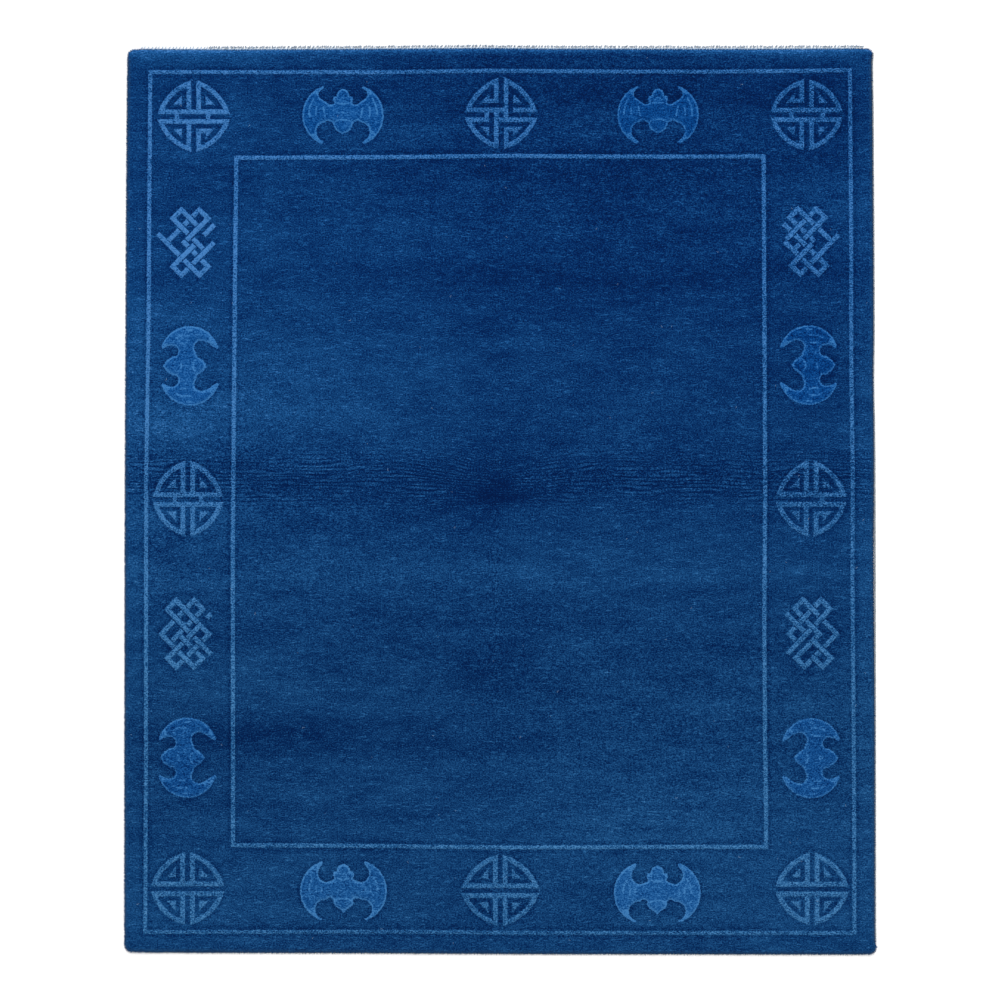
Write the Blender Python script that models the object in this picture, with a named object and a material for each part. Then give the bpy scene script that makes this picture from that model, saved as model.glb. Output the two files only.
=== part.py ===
"""Hand-knotted wool rug with a carved border of roundels, bats and endless knots, lying flat.

Metres, +Z up. The origin is on the floor under the rug's middle and +Y runs towards the end
with the cut warp ends. The underside is flat. The wool figures are raised in the top face's
points, with a narrow sloped flank where the pile around them was clipped lower.
"""
import math
import random

import bmesh
import bpy
from mathutils import Vector
from mathutils.geometry import delaunay_2d_cdt

# ---------------------------------------------------------------- driving dimensions, metres
PILE_HEIGHT = 0.0125  # foundation and pile together
RELIEF = 0.0014  # how far the light figures stand over the clipped ground
FLANK = 0.0012  # width of the sloped flank round a figure
CORNER_RADIUS = 0.021
PIECE_GAP = 0.0003
SHORTEST_EDGE = 0.0003  # corners of an outline closer than this are drawn together
SAME_POINT = 0.00001

# Where the long sides run: distance up the rug from its middle, half the width there.
SIDE_STATIONS = (
    (1.440, 1.2120),
    (1.250, 1.2146),
    (0.790, 1.2173),
    (0.340, 1.2193),
    (-0.050, 1.2210),
    (-0.850, 1.2222),
    (-1.440, 1.2226),
)
# Where the two ends run: distance across from the middle, top end, bottom end.
END_STATIONS = (
    (-1.190, 1.4635, -1.4725),
    (-0.850, 1.4622, -1.4738),
    (-0.400, 1.4645, -1.4750),
    (-0.050, 1.4670, -1.4772),
    (0.150, 1.4648, -1.4780),
    (0.650, 1.4640, -1.4785),
    (0.900, 1.4642, -1.4790),
    (1.190, 1.4660, -1.4795),
)
# The edge in section, from the floor up to the top face's border: drawn in by, height.
RIM_SECTION = ((0.0, 0.0), (0.0, 0.0055), (0.0030, 0.0105))
ROLL_WIDTH = 0.012  # the pile reaches its full height this far in from the edge

GROUND_STEP = 0.200  # spacing of the points that carry the ground's unevenness
UNEVENNESS = 0.0005
FOLD_Y = 0.068  # an old fold runs across here
FOLD_HEIGHT = 0.0008
FOLD_WIDTH = 0.030
FOLD_ROWS = (-0.045, 0.0, 0.045)
CLEAR_OF_FIGURES = 0.007

# The two plain frames of light wool, a little bowed as the hand-woven ones are: width of the line,
# then its middle, anticlockwise from the bottom left corner.
OUTER_LINE_WIDTH = 0.0126
OUTER_LINE = (
    *((-1.1560, -1.4080), (-0.3000, -1.4068), (0.0500, -1.4106), (0.5500, -1.4108)),
    *((1.1517, -1.4108), (1.1500, -0.9000), (1.1450, -0.2500), (1.1460, 0.0700)),
    *((1.1410, 0.4700), (1.1412, 0.8500)),
    *((1.1366, 1.3960), (0.7300, 1.3915), (0.4000, 1.3914), (-0.0400, 1.3942), (-0.4000, 1.3893)),
    *((-1.1392, 1.3898), (-1.1434, 0.8500), (-1.1445, 0.6000), (-1.1530, 0.0600), (-1.1532, -0.8500)),
)
INNER_LINE_WIDTH = 0.0132
INNER_LINE = (
    *((-0.8700, -1.1258), (-0.5000, -1.1270), (0.0300, -1.1330), (0.4500, -1.1315)),
    *((0.8645, -1.1308), (0.8634, -0.9500), (0.8600, -0.7500), (0.8582, -0.3600)),
    *((0.8610, 0.0300), (0.8585, 0.6000)),
    *((0.8560, 1.1158), (0.5500, 1.1147), (0.2500, 1.1155), (0.0300, 1.1174), (-0.3600, 1.1133)),
    *((-0.8595, 1.1108), (-0.8640, 0.7000), (-0.8710, -0.1500), (-0.8705, -0.6000)),
)

# Roundels: a quartered disc. Each quarter has a curved band, a bar, a post and a small triangle.
BAND_WIDTH = 0.0143
SLOT_WIDTH = 0.0175  # the gaps that part the four quarters
CORE_OFFSET = 0.0305  # from a slot to the small triangle
CORE_WIDTH = 0.0275
CORE_HEIGHT = 0.0300
HOOK_WIDTH = 0.0135  # the short arm that joins a post to its triangle
HOOK_OVERLAP = 0.004
TIE_WIDTH = 0.0130
TIE_OVERLAP = 0.002
ARC_STEPS = 5
# name, centre x, centre y of the slots, half width, upper height, lower height, bulge of the bands,
# places of the ties, how the top left, top right, bottom left and bottom right quarters are drawn
ROUNDELS = (
    ("top_left", -0.9979, 1.2446, 0.1180, 0.1187, 0.1139, 0.0200, (-0.0547, 0.0468),
     "plain plain plain hooked"),
    ("top_middle", 0.0022, 1.2506, 0.1190, 0.1230, 0.1118, 0.0180, (-0.0470,),
     "crossbar post post crossbar"),
    ("top_right", 0.9960, 1.2506, 0.1180, 0.1158, 0.1148, 0.0215, (-0.0490, 0.0530),
     "hooked plain plain plain"),
    ("middle_left", -1.0173, -0.0010, 0.1145, 0.1269, 0.1204, 0.0205, (-0.0430, 0.0430),
     "plain plain plain plain"),
    ("middle_right", 1.0110, -0.0008, 0.1150, 0.1275, 0.1204, 0.0205, (0.0350,),
     "plain plain plain hooked"),
    ("bottom_left", -1.0181, -1.2676, 0.1190, 0.1187, 0.1168, 0.0215, (),
     "plain plain plain plain"),
    ("bottom_middle", -0.0009, -1.2734, 0.1267, 0.1168, 0.1145, 0.0200, (),
     "plain plain plain plain"),
    ("bottom_right", 1.0139, -1.2684, 0.1194, 0.1184, 0.1171, 0.0200, (),
     "plain plain plain plain"),
)

# Bats: name, how it is drawn, centre x, centre y, span over the wings, height over the wing tips, the
# tail's reach, turn in degrees.
BATS = (
    ("top_left", "top", -0.5124, 1.2493, 0.2640, 0.1855, 0.0600, 0.0),
    ("top_right", "top", 0.5127, 1.2509, 0.2640, 0.1855, 0.0600, 0.0),
    ("bottom_left", "bottom", -0.5107, -1.2742, 0.2820, 0.1900, 0.0690, 0.0),
    ("bottom_right", "bottom", 0.5100, -1.2806, 0.2820, 0.1900, 0.0690, 0.0),
    ("upper_side_left", "side", -1.0083, 0.4340, 0.2580, 0.1855, 0.0510, 90.0),
    ("lower_side_left", "side", -1.0166, -0.8407, 0.2600, 0.1870, 0.0530, 90.0),
    ("upper_side_right", "side", 1.0000, 0.4364, 0.2580, 0.1855, 0.0530, -90.0),
    ("lower_side_right", "side", 1.0084, -0.8426, 0.2600, 0.1870, 0.0530, -90.0),
)
BAT_SPAN = 0.2780  # the size at which the top and bottom bats below are drawn
SIDE_BAT_SPAN = 0.2590
BAT_HEIGHT = 0.1860
# Half of each bat, from the head round one wing to the tail. Most rows are runs of points; a row that
# starts with "arc" is then its centre x, centre y, radius, start and end degrees, and steps.
BROAD_HEAD = (
    *((0.0, 0.0856), (0.0137, 0.0800), (0.0195, 0.0700), (0.0210, 0.0612), (0.0312, 0.0605)),
    *((0.0338, 0.0504), (0.0280, 0.0400)),
)
BAT_DRAWINGS = {
    "top": (
        BROAD_HEAD,
        ((0.0330, 0.0352), (0.0470, 0.0338), (0.0600, 0.0430)),
        ("arc", 0.0650, 0.0690, 0.0195, -62.0, 25.0, 4),
        ((0.0668, 0.0905),),
        ("arc", 0.0410, 0.0, 0.0980, 73.0, -65.0, 9),
        ((0.0725, -0.0925), (0.0672, -0.0890)),
        ("arc", 0.0600, -0.0540, 0.0320, -66.0, 85.0, 7),
        ((0.0516, -0.0155), (0.0425, -0.0205), (0.0320, -0.0240)),
        ((0.0312, -0.0339), (0.0243, -0.0468), (0.0130, -0.0545)),
    ),
    "bottom": (
        BROAD_HEAD,
        ((0.0320, 0.0345), (0.0450, 0.0290)),
        ("arc", 0.0530, 0.0563, 0.0303, -80.0, 52.0, 6),
        ((0.0668, 0.0905),),
        ("arc", 0.0410, 0.0, 0.0980, 73.0, -65.0, 9),
        ((0.0725, -0.0925), (0.0672, -0.0890)),
        ("arc", 0.0600, -0.0590, 0.0322, -66.0, 98.0, 7),
        ((0.0480, -0.0215), (0.0390, -0.0205)),
        ((0.0300, -0.0265), (0.0310, -0.0375), (0.0255, -0.0480), (0.0120, -0.0570)),
    ),
    "side": (
        ((0.0, 0.0890), (0.0105, 0.0830), (0.0190, 0.0760), (0.0250, 0.0655), (0.0298, 0.0610)),
        ("arc", 0.0475, 0.0595, 0.0208, -143.0, 7.0, 6),
        ((0.0654, 0.0763), (0.0565, 0.0915), (0.0625, 0.0940)),
        ("arc", 0.0332, 0.0024, 0.0964, 70.0, -70.0, 9),
        ((0.0620, -0.0905), (0.0560, -0.0870), (0.0655, -0.0715), (0.0750, -0.0590)),
        ("arc", 0.0597, -0.0347, 0.0240, -14.0, 130.0, 6),
        ((0.0320, -0.0193), (0.0250, -0.0275), (0.0185, -0.0385), (0.0095, -0.0470)),
    ),
}

# Endless knots: strands on six lines each way, turned 45 degrees.
KNOT_LINES = (-0.0960, -0.0547, -0.0146, 0.0146, 0.0547, 0.0960)
STRAND_WIDTH = 0.0156
STRAND_GAP = 0.0033
STRAND_FREE_END = 0.0100
# Each strand: F falls to the right and R rises, the line it lies on, then its two ends, each as the
# crossing line and how it meets it: + turns there, - tucks under, = butts on it, * runs free past it,
# . stops short of it. Each knot: name, centre x, centre y, sideways lean, stretch of its upper half.
SHARED_STRANDS = "R5:3+4+ F5:4+3+ R4:4-5+ F0:2+1+ R1:0+1- R0:1+2+"
KNOTS = (
    ("upper_left", -1.0088, 0.8354, 0.0, 1.0,
     "F4:5+3- F3:5+3- R4:3-4- R3:5+2- F1:5=2- R4:3-1= F2:3+2- F3:3-1- R2:4+5= R1:1-4= R2:0+3- F1:2-0+ "
     "F2:0+1- F2:2-1-"),
    ("lower_left", -1.0264, -0.4394, 0.0, 1.042,
     "R2:5*5* R3:1-2= F4:5+2- F3:5+2- R4:3-4- R3:3-4- R3:5+4- R4:3-1+ F1:4+2- R3:3-2+ F2:3+1- R2:4+2- "
     "F4:2+1+ R1:4+3- F3:2-0* R2:2-0+ F1:0+2- F2:0+1- R1:3-1-"),
    ("upper_right", 1.0010, 0.8389, -0.035, 1.0,
     "F4:5+3- F3:5+4- R4:4-1- F3:4-3- R3:5+2- F2:5=4- F2:4-2- R3:2-1= F1:4=2- R2:0+3- F3:3-2= F2:2-1- "
     "R1:5.1- F4:3-1= F1:2-0+ F2:0+1-"),
    ("lower_right", 1.0164, -0.4385, -0.023, 1.05,
     "F3:5+4- R4:4-2- F4:5+3- R3:5+3- F2:5*3- F3:4-2+ R2:3+2- F4:3-1+ R1:4+2- F2:2+0+ R3:3=0* R4:2-1+ "
     "F1:4+3- R2:2-0+ F1:1+0+ R1:2-1-"),
)

# The cotton past the pile's ends.
COTTON_THICKNESS = 0.0022
TOP_WEB_WIDTH = 0.0042
STRAND_PITCH = 0.0113
WARP_STRAND_WIDTH = 0.0048
WARP_STRAND_LENGTH = (0.0050, 0.0095)
WARP_STRAND_SLANT = (0.30, 0.52)  # sideways lean for each metre of length
TOP_WEB_ENDS = (-1.172, 1.176)
BOTTOM_WEB_ENDS = (-1.155, 1.185)
BOTTOM_WEB_WIDTH = (0.0028, 0.0046)
BOTTOM_WEB_STEP = 0.045

# ---------------------------------------------------------------- lines and outlines in plan


def between(stations, at, column):
    """The value of a column at a place along a table of stations, on straight runs between them."""
    rows = sorted(stations)
    at = min(max(at, rows[0][0]), rows[-1][0])
    for low, high in zip(rows, rows[1:]):
        if at <= high[0]:
            share = (at - low[0]) / (high[0] - low[0])
            return low[column] + share * (high[column] - low[column])
    return rows[-1][column]


def half_width(y):
    return between(SIDE_STATIONS, y, 1)


def end_line(x, end):
    """Where the pile ends at this distance across: end is 1 for the top and 2 for the bottom."""
    return between(END_STATIONS, x, end)


def arc(centre, radius, start, end, steps):
    """Points on an arc; the angles are in degrees."""
    points = []
    for k in range(steps + 1):
        angle = math.radians(start + (end - start) * k / steps)
        points.append((centre[0] + radius * math.cos(angle), centre[1] + radius * math.sin(angle)))
    return points


def rug_outline(inset):
    """The rug's edge in plan, anticlockwise, drawn in by inset."""
    radius = CORNER_RADIUS - inset
    corners = []
    for side, end, sign, start in ((-1, 2, -1, 180), (1, 2, -1, 270), (1, 1, 1, 0), (-1, 1, 1, 90)):
        y = end_line(side * END_STATIONS[-1][0], end)
        x = half_width(y)
        centre = (side * (x - CORNER_RADIUS), y - sign * CORNER_RADIUS)
        corners.append(arc(centre, radius, start, start + 90, 4))
    ends = [row for row in END_STATIONS if abs(row[0]) < END_STATIONS[-1][0]]
    bottom = [(row[0], row[2] + inset) for row in ends]
    top = [(row[0], row[1] - inset) for row in reversed(ends)]
    sides = SIDE_STATIONS[1:-1]
    right = [(row[1] - inset, row[0]) for row in reversed(sides)]
    left = [(inset - row[1], row[0]) for row in sides]
    return corners[0] + bottom + corners[1] + right + corners[2] + top + corners[3] + left


def area_of(points):
    """Signed area of a polygon, positive when it runs anticlockwise."""
    total = 0.0
    for a, b in zip(points, points[1:] + points[:1]):
        total += a[0] * b[1] - a[1] * b[0]
    return total / 2


def anticlockwise(points):
    return list(points) if area_of(points) > 0 else list(reversed(points))


def widened(points, distance):
    """A polygon with each side moved out by a distance, its corners kept sharp."""
    count = len(points)
    moved = []
    for k in range(count):
        here = Vector(points[k])
        before = (here - Vector(points[k - 1])).normalized()
        after = (Vector(points[(k + 1) % count]) - here).normalized()
        out = Vector((before.y + after.y, -before.x - after.x))
        moved.append(tuple(here + out * distance / max(1.0 + before.dot(after), 0.4)))
    return moved


def band(line, width):
    """A strip of even width along a line of points."""
    left, right = [], []
    for k, point in enumerate(line):
        before = Vector(line[max(k - 1, 0)])
        after = Vector(line[min(k + 1, len(line) - 1)])
        along = (after - before).normalized()
        side = Vector((-along.y, along.x)) * width / 2
        left.append(tuple(Vector(point) + side))
        right.append(tuple(Vector(point) - side))
    return anticlockwise(right + left[::-1])


def placed(points, x, y, degrees=0.0):
    """Points turned about the origin and moved to a place."""
    cos, sin = math.cos(math.radians(degrees)), math.sin(math.radians(degrees))
    return [(x + cos * u - sin * v, y + sin * u + cos * v) for u, v in points]


# ---------------------------------------------------------------- the woven figures


def frame_line(middle, width):
    """A plain frame as a ring of short strips that share their mitred ends."""
    outer, inner = widened(middle, width / 2), widened(middle, -width / 2)
    return [[outer[k - 1], outer[k], inner[k], inner[k - 1]] for k in range(len(middle))]


def quarter(reach, height, bulge, style):
    """One quarter of a roundel, with the slots' meeting point at the lower left, facing up and right."""
    chord = math.hypot(reach, height)
    radius = chord * chord / (8 * bulge) + bulge / 2
    depth = radius - bulge
    centre = (reach / 2 - depth * height / chord, height / 2 - depth * reach / chord)

    def across(v, r):
        return centre[0] + math.sqrt(r * r - (v - centre[1]) ** 2)

    def above(u, r):
        return centre[1] + math.sqrt(r * r - (u - centre[0]) ** 2)

    def angle(u, v):
        return math.degrees(math.atan2(v - centre[1], u - centre[0]))

    inner = radius - BAND_WIDTH
    outer_arc = arc(centre, radius, angle(reach, 0), angle(0, height), ARC_STEPS)
    inner_arc = arc(centre, inner, angle(0, above(0, inner)), angle(across(0, inner), 0), ARC_STEPS)
    far = CORE_OFFSET
    half_slot = -SLOT_WIDTH / 2
    bar_from = {"plain": half_slot, "hooked": half_slot, "crossbar": -SLOT_WIDTH, "post": far}[style]
    post_from = {"plain": 0.0, "hooked": far, "crossbar": far, "post": -SLOT_WIDTH}[style]
    middle = radius - BAND_WIDTH / 2
    bar_end = [(across(0, middle), 0), (across(BAND_WIDTH, middle), BAND_WIDTH)]
    post_end = [(BAND_WIDTH, above(BAND_WIDTH, middle)), (0, above(0, middle))]
    bar = [(bar_from, 0), *bar_end, (bar_from, BAND_WIDTH)]
    post = [(0, post_from), (BAND_WIDTH, post_from), *post_end]
    core = [(far, far), (far + CORE_WIDTH, far), (far, far + CORE_HEIGHT)]
    shapes = [outer_arc + inner_arc, bar, post, core]
    if style in ("hooked", "crossbar"):
        reach_in, rise = far + HOOK_OVERLAP, far + HOOK_WIDTH
        shapes.append([(0, far), (reach_in, far), (reach_in, rise), (0, rise)])
    return shapes


def roundel(x, y, half, upper, lower, bulge, ties, styles):
    """The four quarters about their slots, and the small ties between the halves."""
    shapes = []
    corners = ((-1, 1, upper), (1, 1, upper), (-1, -1, lower), (1, -1, lower))
    for (side, rise, height), style in zip(corners, styles.split()):
        for shape in quarter(half - SLOT_WIDTH / 2, height - SLOT_WIDTH / 2, bulge, style):
            turned = [(side * (u + SLOT_WIDTH / 2), rise * (v + SLOT_WIDTH / 2)) for u, v in shape]
            shapes.append(turned)
    for tie in ties:
        low, high = tie - TIE_WIDTH / 2, tie + TIE_WIDTH / 2
        reach = SLOT_WIDTH / 2 + TIE_OVERLAP
        shapes.append([(low, -reach), (high, -reach), (high, reach), (low, reach)])
    return [anticlockwise(placed(shape, x, y)) for shape in shapes]


def bat(drawing, x, y, span, height, tail_reach, degrees):
    """A bat with spread wings, seen from above: half of it is drawn, then mirrored."""
    half = []
    for row in BAT_DRAWINGS[drawing]:
        half += arc(row[1:3], *row[3:]) if row[0] == "arc" else row
    half.append((0.0, -tail_reach))
    whole = half + [(-u, v) for u, v in reversed(half[1:-1])]
    drawn_span = SIDE_BAT_SPAN if drawing == "side" else BAT_SPAN
    fitted = [(u * span / drawn_span, v * height / BAT_HEIGHT) for u, v in whole]
    return anticlockwise(placed(fitted, x, y, degrees))


def strand(code):
    """One straight strand of an endless knot, from its code."""
    meets = {"+": STRAND_WIDTH / 2, "-": -STRAND_WIDTH / 2 - STRAND_GAP, "=": 0.0}
    meets.update({"*": STRAND_FREE_END, ".": -STRAND_FREE_END})
    family, line = code[0], KNOT_LINES[int(code[1])]
    first, last = KNOT_LINES[int(code[3])], KNOT_LINES[int(code[5])]
    way = 1 if last > first else -1
    first -= way * meets[code[4]]
    last += way * meets[code[6]]
    ends = [(line, first), (line, last)] if family == "F" else [(first, line), (last, line)]
    return band([((s - t) / math.sqrt(2), (s + t) / math.sqrt(2)) for s, t in ends], STRAND_WIDTH)


def endless_knot(x, y, lean, stretch, codes):
    shapes = []
    for code in (SHARED_STRANDS + " " + codes).split():
        shape = strand(code)
        shapes.append([(x + u + lean * v, y + (stretch * v if v > 0 else v)) for u, v in shape])
    return shapes


def all_figures(grown):
    """Every raised shape on the rug, as polygons in plan, each grown by this much all round."""
    lines = frame_line(OUTER_LINE, OUTER_LINE_WIDTH + 2 * grown)
    lines += frame_line(INNER_LINE, INNER_LINE_WIDTH + 2 * grown)
    shapes = [bat(*row[1:]) for row in BATS]
    for row in ROUNDELS:
        shapes += roundel(*row[1:])
    for row in KNOTS:
        shapes += endless_knot(*row[1:])
    return lines + [widened(shape, grown) for shape in shapes]


def union_outline(shapes):
    """The points and the edges round the union of these shapes."""
    points, loops = [], []
    for shape in shapes:
        loops.append(list(range(len(points), len(points) + len(shape))))
        points += [Vector(p) for p in shape]
    made = delaunay_2d_cdt(points, [], loops, 0, SAME_POINT, True)
    border = set()
    for face, ids in zip(made[2], made[5]):
        if ids:
            border ^= {tuple(sorted(side)) for side in zip(face, face[1:] + face[:1])}
    joined = {k: k for side in border for k in side}
    for a, b in sorted(border):
        if (made[0][a] - made[0][b]).length < SHORTEST_EDGE:
            old, new = joined[b], joined[a]
            joined.update({k: new for k in joined if joined[k] == old})
    used = sorted(set(joined.values()))
    place = {k: n for n, k in enumerate(used)}
    sides = [(place[joined[a]], place[joined[b]]) for a, b in sorted(border)]
    return [made[0][k] for k in used], [side for side in sides if side[0] != side[1]]


def inside(point, shapes):
    """Whether a point lies in any of these shapes, by counting the sides that it passes under."""
    for shape in shapes:
        crossings = 0
        for a, b in zip(shape, shape[1:] + shape[:1]):
            if (a[0] > point[0]) != (b[0] > point[0]):
                crossings += point[1] < a[1] + (point[0] - a[0]) * (b[1] - a[1]) / (b[0] - a[0])
        if crossings % 2:
            return True
    return False


# ---------------------------------------------------------------- the rug's solid


def lie(x, y):
    """How far the ground lies above or below its mean height here: soft waves and the old fold."""
    waves = math.sin(2.1 * x + 0.6) * math.cos(2.7 * y - 0.4) + 0.5 * math.sin(4.3 * y + 1.3 * x)
    fold = math.exp(-(((y - FOLD_Y) / FOLD_WIDTH) ** 2)) * (0.45 + 0.55 * min(abs(x), 1.0))
    return UNEVENNESS * waves + FOLD_HEIGHT * fold


def distance_to_side(point, a, b):
    along = b - a
    share = min(max((point - a).dot(along) / along.length_squared, 0.0), 1.0)
    return (point - a - along * share).length


def ground_points(sides):
    """A loose grid of points for the ground, clear of every outline and outside every figure."""
    columns = [GROUND_STEP * k for k in range(-5, 6)]
    rows = [GROUND_STEP * k for k in range(-7, 8) if k != 0] + [FOLD_Y + step for step in FOLD_ROWS]
    spots = [Vector((x, y)) for y in rows for x in columns]
    figures = all_figures(CLEAR_OF_FIGURES)
    spots = [spot for spot in spots if not inside(spot, figures)]
    return [spot for spot in spots if all(distance_to_side(spot, a, b) > CLEAR_OF_FIGURES for a, b in sides)]


def top_face():
    """The top face in plan: its points, its triangles, and each point's height over the ground.

    The height is None on the border, where the rim's section gives it.
    """
    tops, feet = union_outline(all_figures(0.0)), union_outline(all_figures(FLANK))
    border, roll = rug_outline(RIM_SECTION[-1][0]), rug_outline(ROLL_WIDTH)
    points, sides, marks = [], [], []
    rings = [[(k, (k + 1) % len(ring)) for k in range(len(ring))] for ring in (border, roll)]
    parts = ((border, rings[0], None), (roll, rings[1], 0.0), (*feet, 0.0), (*tops, RELIEF))
    for corners, edges, height in parts:
        sides += [(a + len(points), b + len(points)) for a, b in edges]
        points += [Vector(p) for p in corners]
        marks += [height] * len(corners)
    loose = ground_points([(points[a], points[b]) for a, b in sides])
    points += loose
    marks += [0.0] * len(loose)
    made = delaunay_2d_cdt(points, sides, [], 0, SAME_POINT, True)
    heights = [max((marks[k] for k in ids if marks[k] is not None), default=None) for ids in made[3]]
    triangles = [face for face in made[2] if inside(face_middle(made[0], face), [border])]
    return made[0], triangles, heights


def face_middle(corners, face):
    return sum((corners[k] for k in face), Vector((0, 0))) / len(face)


def rug_solid():
    """The top face set at its heights, a wall with a rounded shoulder, and a flat underside."""
    corners, triangles, heights = top_face()
    figures = all_figures(0.0)
    mesh = bmesh.new()
    top = []
    for corner, height in zip(corners, heights):
        z = RIM_SECTION[-1][1] if height is None else PILE_HEIGHT + lie(*corner) + height
        top.append(mesh.verts.new((*corner, z)))
    for face in triangles:
        middle = face_middle(corners, face)
        if all(heights[k] == RELIEF for k in face) and not inside(middle, figures):
            low = mesh.verts.new((*middle, PILE_HEIGHT + lie(*middle)))
            for a, b in zip(face, face[1:] + face[:1]):
                mesh.faces.new((top[a], top[b], low))
        else:
            mesh.faces.new([top[k] for k in face])
    for vertex in [v for v in mesh.verts if not v.link_faces]:
        mesh.verts.remove(vertex)
    rings = [[mesh.verts.new((*p, z)) for p in rug_outline(inset)] for inset, z in RIM_SECTION[:-1]]
    rings.append(ordered_border(mesh, rings[-1][0].co))
    for low, high in zip(rings, rings[1:]):
        for k in range(len(low)):
            nxt = (k + 1) % len(low)
            mesh.faces.new((low[k], low[nxt], high[nxt], high[k]))
    mesh.faces.new(rings[0][::-1])
    bmesh.ops.triangulate(mesh, faces=[face for face in mesh.faces if len(face.verts) > 3])
    return mesh


def ordered_border(mesh, start):
    """The open edge of the top face as one anticlockwise loop, from the corner nearest to start."""
    edges = [edge for edge in mesh.edges if edge.is_boundary]
    corners = {v for edge in edges for v in edge.verts}
    first = min(corners, key=lambda v: (v.co.xy - start.xy).length)
    loop, here = [], first
    while True:
        loop.append(here)
        outward = [edge for edge in here.link_edges if edge.is_boundary]
        for edge in outward:
            face_loop = edge.link_loops[0]
            if face_loop.vert == here:
                here = edge.other_vert(here)
                break
        if here == first:
            return loop


# ---------------------------------------------------------------- the cotton at the ends


def plate(points, quads):
    """A flat plate on the floor, made of four-sided pieces that share their corners in plan."""
    mesh = bmesh.new()
    low = [mesh.verts.new((*p, 0.0)) for p in points]
    high = [mesh.verts.new((*p, COTTON_THICKNESS)) for p in points]
    sides = {side for quad in quads for side in zip(quad, quad[1:] + quad[:1])}
    for quad in quads:
        mesh.faces.new([high[k] for k in quad])
        mesh.faces.new([low[k] for k in reversed(quad)])
    for a, b in sorted(sides):
        if (b, a) not in sides:
            mesh.faces.new((low[a], low[b], high[b], high[a]))
    bmesh.ops.triangulate(mesh, faces=mesh.faces[:])
    return mesh


def root_stations(low, high, others):
    """The places across where the web gets a corner: its ends, these others, and the bends between."""
    bends = [row[0] for row in END_STATIONS if low < row[0] < high]
    return sorted([low, high, *others, *bends])


def web(stations, end, outer_edge):
    """Corners and quads of a web past one of the pile's ends, out to the edge that outer_edge gives."""
    rise = 1 if end == 1 else -1
    inner = [(x, end_line(x, end) + rise * PIECE_GAP) for x in stations]
    outer = [(x, outer_edge(x)) for x in stations]
    count = len(stations)
    quads = [(k, k + 1, count + k + 1, count + k) for k in range(count - 1)]
    return inner + outer, quads if rise > 0 else [quad[::-1] for quad in quads]


def warp_ends():
    """The web past the top end with its row of cut warp ends, each a flat strand leaning sideways."""
    rng = random.Random(3)
    low, high = TOP_WEB_ENDS
    strands = []
    x = low + STRAND_PITCH / 2
    while x < high - STRAND_PITCH / 2:
        width = WARP_STRAND_WIDTH * rng.uniform(0.8, 1.1)
        strands.append((x - width / 2, x + width / 2, rng.uniform(*WARP_STRAND_LENGTH)))
        x += STRAND_PITCH * rng.uniform(0.92, 1.08)
    feet = [side for left, right, _ in strands for side in (left, right)]
    bends = [x for x in root_stations(low, high, feet) if not any(a < x < b for a, b, _ in strands)]
    points, quads = web(bends, 1, lambda x: end_line(x, 1) + PIECE_GAP + TOP_WEB_WIDTH)
    first = {x: len(bends) + k for k, x in enumerate(bends)}
    for left, right, length in strands:
        lean = length * rng.uniform(*WARP_STRAND_SLANT)
        root = end_line(left, 1) + PIECE_GAP + TOP_WEB_WIDTH
        points += [(right + lean * 0.9, root + length * 0.93), (left + lean, root + length)]
        quads.append((first[left], first[right], len(points) - 2, len(points) - 1))
    return plate(points, quads)


def bottom_web():
    """The narrow ragged web past the bottom end."""
    rng = random.Random(8)
    low, high = BOTTOM_WEB_ENDS
    ragged = {high: BOTTOM_WEB_WIDTH[0]}
    x = low
    while x < high - BOTTOM_WEB_STEP / 2:
        ragged[x] = rng.uniform(*BOTTOM_WEB_WIDTH)
        x += BOTTOM_WEB_STEP * rng.uniform(0.5, 1.5)
    widths = sorted(ragged.items())
    stations = root_stations(low, high, [x for x in ragged if low < x < high])
    points, quads = web(stations, 2, lambda x: end_line(x, 2) - PIECE_GAP - between(widths, x, 1))
    return plate(points, quads)


# ---------------------------------------------------------------- materials and objects


def finish(name, color, roughness):
    material = bpy.data.materials.new(name)
    material.use_nodes = True
    shader = material.node_tree.nodes["Principled BSDF"]
    shader.inputs["Base Color"].default_value = (*color, 1.0)
    shader.inputs["Roughness"].default_value = roughness
    shader.inputs["Metallic"].default_value = 0.0
    return material


def add_piece(name, mesh, material):
    data = bpy.data.meshes.new(name)
    mesh.to_mesh(data)
    mesh.free()
    data.materials.append(material)
    piece = bpy.data.objects.new(name, data)
    bpy.context.scene.collection.objects.link(piece)
    return piece


def main():
    for old in list(bpy.data.objects):
        bpy.data.objects.remove(old, do_unlink=True)
    wool = finish("blue_wool", (0.008, 0.052, 0.185), 0.95)
    cotton = finish("undyed_cotton", (0.62, 0.64, 0.66), 0.9)
    add_piece("knotted_pile", rug_solid(), wool)
    add_piece("warp_ends_top", warp_ends(), cotton)
    add_piece("end_web_bottom", bottom_web(), cotton)


main()
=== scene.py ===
# %% [markdown]
# # A hand-knotted wool rug
# This file dresses the plain solids of a rug so that they look like wool and cotton. It is read from
# top to bottom like a notebook: a few sentences say what a piece is on the real rug, how it could be
# made and why it is made this way, then a short cell makes it and prints what it made. Everything is
# in metres, the rug lies flat on the floor and +Y runs towards the end with the cut warp ends.

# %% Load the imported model
import math
import random

import bmesh
import bpy
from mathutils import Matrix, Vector
from mathutils.bvhtree import BVHTree
from mathutils.geometry import delaunay_2d_cdt


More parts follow.
